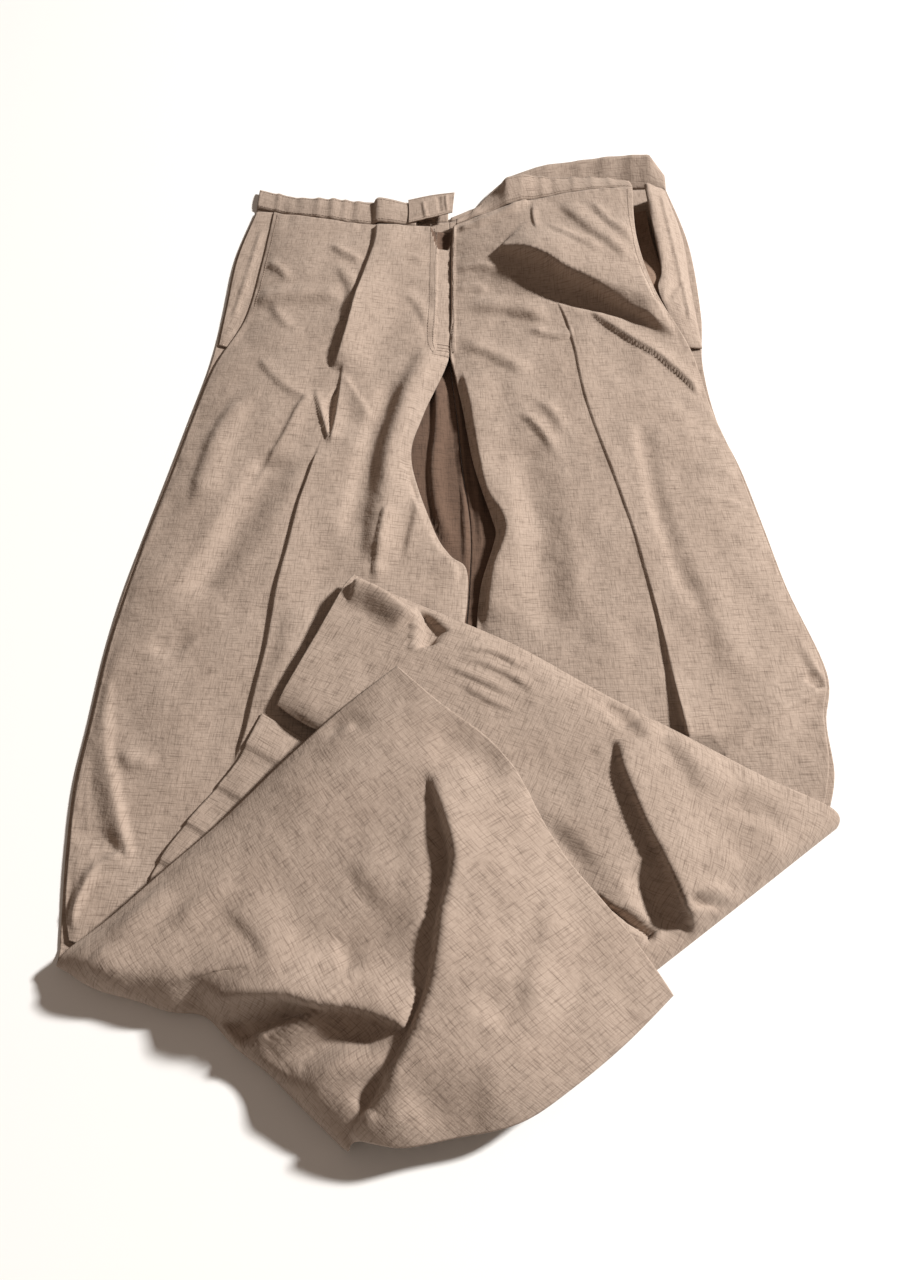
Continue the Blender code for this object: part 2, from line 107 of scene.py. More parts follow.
def clothGrid(piece):                 # rows of points down a piece, from its sections
    crowd = lie["edgeCrowding"]
    angles = np.pi * (crowd + (1 - 2 * crowd) * np.linspace(0, 1, piece["columns"] + 1))
    across = (np.cos(angles[0]) - np.cos(angles)) / (np.cos(angles[0]) - np.cos(angles[-1]))
    lines = [acrossSection(s, across, piece["power"]) for s in piece["sections"]]
    rows = []
    for i, section in enumerate(piece["sections"][:-1]):
        a, b, c, d = (lines[min(max(i + k, 0), len(lines) - 1)] for k in (-1, 0, 1, 2))
        count = section[0] * piece["density"]
        rows += [splineAt(a, b, c, d, k / count) for k in range(count)]
    grid = np.array(rows + [lines[-1]])
    grid[..., 2] = np.maximum(grid[..., 2], piece["lowest"])
    return grid


def rowOf(piece, index):              # the row of points that runs through a section
    return sum(s[0] for s in piece["sections"][:index]) * piece["density"]


def fold(height, steep, gentle, path, crisp=0.0, fade=18.0, lean=0.0, along="pixels"):
    # path is in pixels of the photograph, with a share of the height where a third value is given
    places = [(*p[:2], p[2] if len(p) > 2 else 1.0) for p in path]
    return {"height": height, "steep": steep, "gentle": gentle, "crisp": crisp, "fade": fade, "lean": lean,
            along: places}


def foldAt(*sizes, **more):           # the same, along points of the tables
    return fold(*sizes, **more, along="path")


def hollow(depth, edge, outline):     # a sunk place with a rim of that width
    return {"depth": depth, "edge": edge, "pixels": [(*p, 0.0) for p in outline]}


# Where pixels of the photograph show a cloth, raised by the fold's own height
def onGrid(grid, pixels, height):
    flat, heights = grid[::2, ::2, :2].reshape(-1, 2), grid[::2, ::2, 2].ravel()
    places = []
    for px, py, share in pixels:
        level = lie["firstLevel"]
        for _ in range(lie["rounds"]):
            x, y = onCloth(px, py, level + height * share)
            level = 0.5 * (level + heights[np.argmin((flat[:, 0] - x) ** 2 + (flat[:, 1] - y) ** 2)])
        places.append((x, y, share))
    return places


def foldMove(grid, folds, start=0):   # the steep side is on the right of a walk along the path
    flat = grid[..., :2].reshape(-1, 2)
    move = np.zeros((len(flat), 3))
    for item in folds:
        if "depth" in item:
            move[:, 2] -= sunk(flat, item, [p[:2] for p in onGrid(grid[start:], item["pixels"], 0.0)])
            continue
        path = item.get("path")
        if path is None:
            path = onGrid(grid[start:], item["pixels"], max(item["height"], 0.0))
        line = curveThrough(path, lie["pathStep"])
        ways = np.gradient(line[:, :2], axis=0)
        ways /= np.linalg.norm(ways, axis=1, keepdims=True)
        line[:, :2] -= item["lean"] * np.stack([ways[:, 1], -ways[:, 0]], axis=1) * line[:, 2:] ** 2
        reach = max(item["steep"], item["gentle"])
        near = np.all((flat > line[:, :2].min(0) - reach) & (flat < line[:, :2].max(0) + reach), axis=1)
        spot = flat[near]
        if not len(spot):
            continue
        best = np.full(len(spot), 1e9)
        onRight, place, share = np.zeros(len(spot), bool), np.zeros(len(spot)), np.ones(len(spot))
        toRight = np.zeros((len(spot), 2))
        gone = 0.0
        for a, b in zip(line[:-1], line[1:]):
            run = b[:2] - a[:2]
            length = float(np.hypot(*run)) or 1e-6
            part = np.clip(((spot - a[:2]) @ run) / length ** 2, 0, 1)
            away = spot - (a[:2] + part[:, None] * run)
            distance = np.hypot(away[:, 0], away[:, 1])
            nearer = distance < best
            best = np.where(nearer, distance, best)
            onRight = np.where(nearer, run[0] * away[:, 1] - run[1] * away[:, 0] < 0, onRight)
            place = np.where(nearer, gone + part * length, place)
            share = np.where(nearer, a[2] + (b[2] - a[2]) * part, share)
            toRight = np.where(nearer[:, None], np.array((run[1], -run[0])) / length, toRight)
            gone += length
        far = np.clip(best / np.where(onRight, item["steep"], item["gentle"]), 0, 1)
        shape = (1 - item["crisp"]) * (0.5 + 0.5 * np.cos(np.pi * far)) + item["crisp"] * (1 - far) ** 2
        ends = np.clip(np.minimum(place, gone - place) / min(item["fade"], gone / 3), 0, 1)
        rise = share * shape * (lie["foldEnd"] + (1 - lie["foldEnd"]) * eased(ends))
        move[near, 2] += item["height"] * rise
        # the crest hangs over its steep side
        move[near, :2] += item["lean"] * (rise ** 2)[:, None] * toRight
    return move.reshape(grid.shape)


def layFolds(grid, folds, loose, held, start=0):      # folds and uneven lie, less where the cloth is held
    move = foldMove(grid, folds, start)
    move[..., 2] += loose
    grid += move * held[..., None]


def sunk(flat, item, corners):        # how deep a hollow is at each point
    corners = np.array(corners)
    inside = np.zeros(len(flat), bool)
    best = np.full(len(flat), 1e9)
    for a, b in zip(corners, np.roll(corners, -1, axis=0)):
        run = b - a
        part = np.clip(((flat - a) @ run) / (run @ run), 0, 1)
        away = flat - (a + part[:, None] * run)
        best = np.minimum(best, np.hypot(away[:, 0], away[:, 1]))
        crosses = (a[1] > flat[:, 1]) != (b[1] > flat[:, 1])
        inside ^= crosses & (flat[:, 0] < run[0] * (flat[:, 1] - a[1]) / (run[1] if run[1] else 1e-9) + a[0])
    deep = np.clip(best / item["edge"], 0, 1)
    return np.where(inside, item["depth"] * eased(deep), 0.0)


def slack(grid, seed, height, size):  # uneven lie of the cloth, longer down the piece than across it
    values = []
    for x, y in grid[..., :2].reshape(-1, 2):
        broad = noise.noise(Vector((x / size, y / (size * lie["slackStretch"]), seed)))
        fine = noise.noise(Vector((x * lie["fineAcross"] / size, y * lie["fineDown"] / size, seed + 7)))
        values.append(broad + lie["fineSlack"] * fine)
    return height * np.array(values).reshape(grid.shape[:2])


# Moves part of a fold in plan: first and last section, share across, spread, and the move itself
def nudge(grid, piece, nudges):
    rows = np.arange(len(grid), dtype=float)
    for first, last, share, spread, dx, dy in nudges:
        begin = rowOf(piece, first)
        if last is None:              # grows to the last row
            down = (rows - begin) / (len(grid) - 1 - begin)
        else:                         # whole in the middle, gone a little past both sections
            half = (rowOf(piece, last) - begin) / 2
            down = 1.25 - np.abs(rows - begin - half) / half
        down = np.clip(down, 0, 1)[:, None]
        across = np.exp(-((np.linspace(0, 1, grid.shape[1]) - share) / spread) ** 2)[None]
        grid[..., 0] += dx * down * across
        grid[..., 1] += dy * down * across


def followCrease(grid, pixels, height):       # turns the middle column of points onto a pressed crease
    places = onGrid(grid, [(*p[:2], 1.0) for p in pixels], height)
    line = curveThrough(places, lie["creaseStep"])[:, :2]
    columns = grid.shape[1] - 1
    found = np.full(len(grid), np.nan)
    for i, row in enumerate(grid[..., :2]):
        if not line[-1, 1] <= row[columns // 2, 1] <= line[0, 1]:
            continue
        away = np.hypot(*np.moveaxis(row[:, None] - line[None], 2, 0))
        nearest = np.argmin(away, axis=1)
        after, before = line[np.minimum(nearest + 1, len(line) - 1)], line[np.maximum(nearest - 1, 0)]
        run = after - before
        side = run[:, 0] * (row[:, 1] - before[:, 1]) - run[:, 1] * (row[:, 0] - before[:, 0])
        crossing = np.nonzero(np.diff(np.sign(side)))[0]
        if len(crossing):
            j = crossing[np.argmin(away.min(axis=1)[crossing])]
            found[i] = j + side[j] / (side[j] - side[j + 1])
    known = np.nonzero(~np.isnan(found))[0]
    found = np.interp(np.arange(len(grid)), known, found[known])
    stay, crowd = columns // 2, lie["creaseCrowding"]
    reached = np.empty_like(grid)
    for i, row in enumerate(grid):
        low, high = np.arange(stay, 0, -1) / stay, np.arange(0, columns - stay + 1) / (columns - stay)
        low, high = low * (1 - crowd + crowd * low), high * (1 - crowd + crowd * high)
        spots = np.concatenate([found[i] * (1 - low), found[i] + (columns - found[i]) * high])
        for k in range(3):
            reached[i, :, k] = np.interp(spots, np.arange(columns + 1), row[:, k])
    return reached


def puckers(grid, edge, height, reach, size, seed):   # short ripples that run in from a sewn edge
    if edge == "top":
        steps = np.linalg.norm(np.diff(grid, axis=0), axis=2)
        away = np.concatenate([np.zeros((1, grid.shape[1])), np.cumsum(steps, axis=0)], axis=0)
    else:
        steps = np.linalg.norm(np.diff(grid, axis=1), axis=2)
        away = np.concatenate([np.zeros((len(grid), 1)), np.cumsum(steps, axis=1)], axis=1)
        away = away[:, -1:] - away if edge == "right" else away
    along, other = (grid[..., 0], grid[..., 1]) if edge == "top" else (grid[..., 1], grid[..., 0])
    stretched = size * lie["puckerStretch"]
    values = np.array([noise.noise(Vector((a / size, b / stretched, seed)))
                       for a, b in zip(along.ravel(), other.ravel())]).reshape(along.shape)
    return height * values * np.exp(-away / reach) * np.clip(away / lie["puckerStart"], 0, 1)


def pinned(grid, left, right):        # 0 at sewn edges, 1 away from them
    steps = np.hypot(*np.moveaxis(np.diff(grid[..., :2], axis=1), 2, 0))
    run = np.concatenate([np.zeros((len(grid), 1)), np.cumsum(steps, axis=1)], axis=1)
    share = np.ones(grid.shape[:2])
    if left:
        share = np.minimum(share, np.clip(run / left, 0, 1))
    if right:
        share = np.minimum(share, np.clip((run[:, -1:] - run) / right, 0, 1))
    return eased(share)


def placed(points):                   # from the tables to the part's own frame, in metres
    return (np.asarray(points, float) - (*tableMiddle, 0.0)) * 0.001


def sheetNormals(grid):
    along = np.gradient(grid, axis=0)
    across = np.gradient(grid, axis=1)
    normals = np.cross(along, across)
    return normals / np.maximum(np.linalg.norm(normals, axis=2, keepdims=True), 1e-9)


def makePiece(name, grid, material, nodes, wall=cloth, weave=None):
    rows, columns = grid.shape[:2]
    bm = bmesh.new()
    bmesh.ops.create_grid(bm, x_segments=columns - 1, y_segments=rows - 1, size=0.5)
    mesh = bpy.data.meshes.new(name)
    bm.to_mesh(mesh)
    bm.free()
    spots = np.empty(len(mesh.vertices) * 3, np.float32)
    mesh.vertices.foreach_get("co", spots)
    spots = spots.reshape(-1, 3)
    column = np.rint((spots[:, 0] + 0.5) * (columns - 1)).astype(int)
    row = np.rint((0.5 - spots[:, 1]) * (rows - 1)).astype(int)
    mesh.vertices.foreach_set("co", placed(grid)[row, column].astype(np.float32).ravel())
    addWeaveMap(mesh, (weaveLengths(grid) if weave is None else weave)[row, column])
    mesh.materials.append(material)
    mesh.shade_smooth()
    piece = bpy.data.objects.new(name, mesh)
    bpy.context.scene.collection.objects.link(piece)
    if wall:
        layer = piece.modifiers.new("cloth wall", 'SOLIDIFY')
        layer.thickness = wall * 0.001
        layer.offset = -1
    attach(piece, "root")
    if nodes:
        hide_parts(*nodes)
    return piece


def weaveLengths(grid):               # metres along and across the cloth, for the weave
    points = placed(grid)
    across = np.linalg.norm(np.diff(points, axis=1), axis=2)
    along = np.linalg.norm(np.diff(points, axis=0), axis=2)
    u = np.concatenate([np.zeros((len(points), 1)), np.cumsum(across, axis=1)], axis=1)
    u -= u[:, -1:] / 2
    v = np.concatenate([np.zeros((1, points.shape[1])), np.cumsum(along, axis=0)], axis=0)
    v = np.repeat(v.mean(axis=1)[:, None], points.shape[1], axis=1)
    return np.stack([u, v], axis=2)


def flatWeave(grid, turn=0.0, start=0):     # the weave of a cloth that lies flat, turned past a row
    points = placed(grid)
    angle = np.where(np.arange(len(grid)) < start, 0.0, math.radians(turn))[:, None]
    x, y = points[..., 0], points[..., 1]
    across = x * np.cos(angle) + y * np.sin(angle)
    down = y * np.cos(angle) - x * np.sin(angle) + lie["weaveOnRise"] * points[..., 2]
    return np.stack([across, down], axis=2)


def addWeaveMap(mesh, lengths):
    layer = mesh.uv_layers.new(name="weave")
    corners = np.empty(len(mesh.loops), np.int32)
    mesh.loops.foreach_get("vertex_index", corners)
    layer.data.foreach_set("uv", lengths[corners].astype(np.float32).ravel())


# Scales are cells of noise in a metre, along and across the threads
linenLook = {
    "colour": (0.385, 0.298, 0.241), "shade": (0.185, 0.135, 0.105), "pale": (0.47, 0.375, 0.31),
    "threads": 1100.0, "slubs": 75.0, "threadDetail": 2.0, "threadShade": (0.24, 0.5),
    "weft": 0.85, "warp": 0.72,
    "clouds": (26.0, 22.0), "cloudDetail": 3.0, "cloudTone": (0.32, 0.7),
    "flecks": (300.0, 300.0), "fleckShare": 0.35, "fleckTone": (0.35, 0.65), "fleckShade": (0.78, 0.76, 0.74),
    "roughness": (0.82, 0.96), "roughnessTone": (0.2, 0.8), "specular": 0.18,
    "sheen": 0.12, "sheenRoughness": 0.6, "sheenTint": (0.95, 0.88, 0.8, 1),
    "bump": 0.4, "bumpDepth": 0.0006,
    "crumple": (70.0, 60.0), "crumpleDetail": 4.0, "crumpleRough": 0.6, "crumpleBump": 0.45,
    "crumpleDepth": 0.003,
}


def linen(name, tint=1.0):            # tint is one factor, or one for each colour
    look = linenLook
    material = bpy.data.materials.new(name)
    material.use_nodes = True
    nodes, links = material.node_tree.nodes, material.node_tree.links
    shader = nodes["Principled BSDF"]
    shader.inputs["Sheen Weight"].default_value = look["sheen"]
    shader.inputs["Sheen Roughness"].default_value = look["sheenRoughness"]
    shader.inputs["Sheen Tint"].default_value = look["sheenTint"]
    shader.inputs["Specular IOR Level"].default_value = look["specular"]
    weave = nodes.new("ShaderNodeUVMap")
    weave.uv_map = "weave"

    def pattern(scale, detail, rough=0.5):            # a noise stretched along the threads
        mapping = nodes.new("ShaderNodeMapping")
        mapping.inputs["Scale"].default_value = (*scale, 1)
        texture = nodes.new("ShaderNodeTexNoise")
        texture.inputs["Scale"].default_value = 1.0
        texture.inputs["Detail"].default_value = detail
        texture.inputs["Roughness"].default_value = rough
        links.new(weave.outputs["UV"], mapping.inputs["Vector"])
        links.new(mapping.outputs["Vector"], texture.inputs["Vector"])
        return texture.outputs["Fac"]

    def ramp(value, span, dark, light):
        node = nodes.new("ShaderNodeValToRGB")
        for element, place, colour in zip(node.color_ramp.elements, span, (dark, light)):
            element.position, element.color = place, (*colour, 1)
        links.new(value, node.inputs["Fac"])
        return node.outputs["Color"]

    def mix(kind, share, first, second):
        node = nodes.new("ShaderNodeMix")
        node.data_type, node.blend_type = 'RGBA', kind
        node.inputs["Factor"].default_value = share
        links.new(first, node.inputs[6])              # the two colour sockets
        links.new(second, node.inputs[7])
        return node.outputs[2]

    def bump(strength, depth, height):
        node = nodes.new("ShaderNodeBump")
        node.inputs["Strength"].default_value = strength
        node.inputs["Distance"].default_value = depth
        links.new(height, node.inputs["Height"])
        return node

    weft = pattern((look["slubs"], look["threads"]), look["threadDetail"])
    warp = pattern((look["threads"], look["slubs"]), look["threadDetail"])
    cloud = pattern(look["clouds"], look["cloudDetail"])
    tint = tint if isinstance(tint, tuple) else (tint,) * 3
    tone, pale, shade = (tuple(c * t for c, t in zip(look[k], tint)) for k in ("colour", "pale", "shade"))
    halfPale = tuple(0.5 * (a + b) for a, b in zip(tone, pale))
    white = (1, 1, 1)
    dark = tuple(a / b for a, b in zip(shade, tone))
    colour = ramp(cloud, look["cloudTone"], tone, halfPale)
    colour = mix('MULTIPLY', look["weft"], colour, ramp(weft, look["threadShade"], dark, white))
    colour = mix('MULTIPLY', look["warp"], colour, ramp(warp, look["threadShade"], dark, white))
    flecks = ramp(pattern(look["flecks"], look["threadDetail"]), look["fleckTone"], look["fleckShade"], white)
    links.new(mix('MULTIPLY', look["fleckShare"], colour, flecks), shader.inputs["Base Color"])
    dull, duller = ((value,) * 3 for value in look["roughness"])
    links.new(ramp(cloud, look["roughnessTone"], dull, duller), shader.inputs["Roughness"])
    fine = bump(look["bump"], look["bumpDepth"], mix('MIX', 0.5, weft, warp))
    crumple = pattern(look["crumple"], look["crumpleDetail"], look["crumpleRough"])
    broad = bump(look["crumpleBump"], look["crumpleDepth"], crumple)
    links.new(fine.outputs["Normal"], broad.inputs["Normal"])
    links.new(broad.outputs["Normal"], shader.inputs["Normal"])
    return material


legLinen = linen("leg linen")
# painted shade: a darker, browner linen for faces seen in shadow through the openings between the legs and at
# the fly
openingShadeLinen = linen("painted shade in openings linen", (0.33, 0.255, 0.215))
# the pocket facing's linen is darker and browner: painted shade for the recess under the pocket edge
facingShadeLinen = linen("pocket facing painted shade linen", (0.8, 0.68, 0.6))
bandLinen = linen("waistband linen", 0.97)
pocketLinen = linen("pocket linen", 1.0)
hemLinen = linen("hem linen", 0.98)
# painted shade: the hidden layers between folds are darkened
hiddenShadeLinen = linen("hidden layers painted shade linen", 0.8)


# Paints shade on what is seen through an opening: faces inside its outline in the tables and below its
# highest level get the darker painted-shade linen
def paintShadeInOpening(piece, outline, highest):
    piece.data.materials.append(openingShadeLinen)
    for face in piece.data.polygons:
        x, y = face.center.x * 1000 + tableMiddle[0], face.center.y * 1000 + tableMiddle[1]
        if face.center.z * 1000 < highest and withinOutline(x, y, outline):
            face.material_index = 1


def withinOutline(x, y, outline):
    inside = False
    for (ax, ay), (bx, by) in zip(outline, outline[1:] + outline[:1]):
        if (ay > y) != (by > y) and x < (bx - ax) * (y - ay) / (by - ay) + ax:
            inside = not inside
    return inside


gap = {                               # the opening between the legs, through which the back shows; its outline and highest level mark where painted shade goes
    "outline": [(-30, 200), (30, 200), (60, 20), (60, -130), (-60, -130), (-60, 60)], "highest": 10.0,
    "middle": -4, "reach": 44, "soft": 12, "seam": 3,
    "ridges": [foldAt(4.5, 5, 12, [(-22, 150), (-21, 90), (-24, 40), (-19, -10), (-8, -44, 0.5)]),
               foldAt(2.5, 3, 8, [(-6, 140), (-3, 70), (1, 10), (2, -60)]),
               foldAt(2.0, 4, 6, [(6, 60), (12, 10), (14, -40)])],
}


def gapFolds(grid, start, seamColumn):        # soft folds of the back seen between the legs
    lift = foldMove(grid[:start], gap["ridges"])[..., 2]
    x = grid[:start, :, 0]
    held = np.clip(np.abs(x - x[:, [seamColumn]]) / gap["seam"], 0, 1)
    whole = np.zeros(grid.shape[:2])
    whole[:start] = lift * held * np.clip((gap["reach"] - np.abs(x - gap["middle"])) / gap["soft"], 0, 1)
    return whole


def foldRamp(grid, piece):            # 0 up to the outer edge of the folded leg, 1 past the top of its fold
    first, last = rowOf(piece, piece["foldTop"] - 1), rowOf(piece, piece["foldTop"])
    return eased(np.clip((np.arange(len(grid)) - first) / (last - first), 0, 1))[:, None]


def foldedLeg(name, node, piece, seamColumn):         # a back panel, flat below and folded up over itself
    grid = clothGrid(piece)
    start = rowOf(piece, piece["foldTop"])
    nudge(grid, piece, piece.get("nudges", []))
    held = foldRamp(grid, piece) * pinned(grid, *piece["held"])
    layFolds(grid, piece["folds"], slack(grid, *piece["slack"]), held, start)
    grid[..., 2] = np.maximum(grid[..., 2], piece["lowest"])
    grid[..., 2] += gapFolds(grid, start, seamColumn)
    weave = flatWeave(grid, piece["weaveTurn"], rowOf(piece, piece["foldTop"] - 2))
    leg = makePiece(name, grid, legLinen, [node], weave=weave)
    # the back seen between the legs gets painted shade
    paintShadeInOpening(leg, gap["outline"], gap["highest"])
    return grid, leg


def frontLeg(name, node, piece):      # a front panel with its pressed crease
    grid = followCrease(clothGrid(piece), piece["crease"], piece["creaseHeight"])
    layFolds(grid, piece["folds"], slack(grid, *piece["slack"]), pinned(grid, *piece["held"]))
    grid[..., 2] += sum(puckers(grid, *values) for values in piece["puckers"])
    grid[0, :, 2] -= piece["waistDip"]
    grid[..., 2] = np.maximum(grid[..., 2], piece["lowest"])
    leg = makePiece(name, grid, legLinen, [node], weave=flatWeave(grid, piece["weaveTurn"]))
    return grid, leg


# Back of the right leg: flat below, round the fold, then outside up to its hem
backRight = {
    "columns": 110, "density": 8, "power": 6, "lowest": 1.5,
    "held": (6, 0), "slack": (3, 1.6, 44), "weaveTurn": -53,
    "sections": [
        (1, (-200, 382, 1.5), (-108, 366, 1.5), (-11.15, 366, 1.5)),
        (1, (-212, 311, 1.5), (-105, 311, 1.5), (-10.15, 311, 1.5)),
        (1, (-214, 232, 1.5), (-105, 232, 1.5), (-10.15, 232, 1.5)),
        (1, (-218, 163, 1.5), (-110, 163, 1.5), (-10.15, 167, 1.5)),
        (1, (-227, 96, 1.5), (-118, 96, 1.5), (-4.15, 96, 1.5)),
        (1, (-235, 38, 1.5), (-131, 38, 1.5), (-0.15, 40, 1.5)),
        (1, (-244, -25, 1.5), (-133, -25, 1.5), (5.85, -23, 1.5)),
        (1, (-252, -84, 1.5), (-128, -84, 1.5), (4, -81, 1.5)),
        (1, (-256, -138, 1.5), (-127, -143, 1.5), (0, -134, 1.5)),
        (1, (-257, -196, 1.5), (-129, -200, 1.5), (-4, -200, 1.5)),
        (1, (-258, -241, 1.5), (-133, -260, 1.5), (-10, -260, 1.5)),
        (1, (-254, -287, 1.5), (-141, -308, 1.5), (-24, -314, 1.5)),
        (2, (-249, -324, 1.5), (-148, -352, 1.5), (-40, -376, 1.5)),
        (3, (-245, -351, 1.5), (-151, -393, 1.5), (-67, -449, 1.5)),
        (3, (-242, -363, 9), (-149, -403, 12), (-64, -464, 9)),
        (3, (-235, -357, 15), (-147, -393, 27), (-59, -461, 16)),
        (5, (-214, -338, 15), (-121, -388, 32), (-35, -465, 17)),
        (5, (-185, -307, 15), (-88, -380, 34), (-7, -460, 18)),
        (5, (-152, -273, 16), (-55, -367, 36), (29, -452, 20)),
        (5, (-114, -232, 22), (-22, -340, 38), (60, -433, 21)),
        (3, (-79, -199, 30), (8, -311, 37), (89, -411, 21)),
        (0, (-45, -170, 35), (43, -280, 34), (118, -385, 21)),
    ],
    "foldTop": 15, "hemTop": 20,
    "nudges": [(12, 17, 0.50, 0.07, 0, 13), (12, 17, 0.66, 0.1, 0, 5), (12, 17, 0.2, 0.12, -1, -6),
               (19, None, 0.36, 0.13, 9, 8), (19, None, 0.58, 0.1, -2, -2)],
    "folds": [
        fold(15, 5, 84, [(432, 772, 0.1), (438, 790, 0.45), (449, 825, 0.9), (455, 857), (447, 897, 0.85),
                         (443, 913, 0.8), (436, 963, 0.72), (425, 1005, 0.62), (408, 1044, 0.6),
                         (389, 1080, 0.55), (364, 1122, 0.5), (352, 1140, 0.3)], crisp=0.2, fade=4),
        fold(3, 26, 30, [(427, 800, 0.3), (424, 860), (420, 930), (412, 985, 0.4)], fade=8),
        fold(12, 4, 40, [(150, 1003, 0.02), (190, 1002, 0.2), (215, 998, 0.45), (240, 995, 0.8), (265, 994),
                         (289, 995), (305, 1000), (322, 1004), (345, 1005, 0.9), (372, 1012, 0.8),
                         (408, 1026, 0.6)], crisp=0.2, fade=4, lean=3),
        hollow(12, 8, [(214, 1006), (250, 1001), (292, 1001), (318, 1010), (300, 1022), (262, 1037),
                       (240, 1050), (222, 1047), (205, 1020)]),
        fold(-9, 24, 18, [(240, 1040, 0.5), (290, 1050), (346, 1036), (396, 1040)]),
        fold(5, 12, 20, [(300, 1090, 0.4), (335, 1064), (372, 1056), (394, 1060, 0.6)]),
        fold(-5, 14, 16, [(358, 1080), (372, 1094), (362, 1118)]),
        fold(1.6, 1.6, 5, [(236, 1048), (280, 1030), (319, 1010)], crisp=1, fade=4),
        fold(-4, 20, 26, [(420, 745), (462, 752), (505, 785)]),
        fold(1.1, 1.8, 5, [(322, 1004), (372, 964), (428, 916)], crisp=1, fade=4),
        fold(2.2, 3, 10, [(480, 827, 0.3), (505, 812), (531, 795, 1.2)], crisp=0.5, fade=6),
        fold(2.4, 3, 10, [(488, 845, 0.3), (510, 833), (534, 820, 1.2)], crisp=0.5, fade=6),
        fold(-3, 14, 18, [(470, 1000), (500, 1012), (540, 1000)]),
        fold(2.5, 10, 26, [(226, 900), (262, 935), (280, 975)]),
        fold(-2.6, 9, 14, [(340, 930, 0.3), (349, 965), (355, 980)]),
        fold(3, 13, 26, [(352, 850), (378, 885), (405, 918, 0.3)]),
        fold(-2.2, 9, 13, [(322, 742), (348, 722), (368, 735)]),
        fold(3, 9, 16, [(176, 880, 0.5), (140, 912), (104, 944)]),
        fold(2.2, 9, 16, [(230, 872, 0.5), (196, 906), (170, 930)]),
        fold(4, 5, 24, [(86, 960, 0.4), (98, 976), (112, 996)], crisp=0.3, fade=5),
        fold(3, 14, 24, [(560, 905), (545, 960), (520, 1040)]),
        fold(-3, 16, 22, [(395, 1100), (440, 1108), (500, 1112)]),
    ],
}
print("stage: back of the right leg")
rightGrid, legBackRight = foldedLeg("legBackRight", "back_leg_right", backRight, seamColumn=-1)

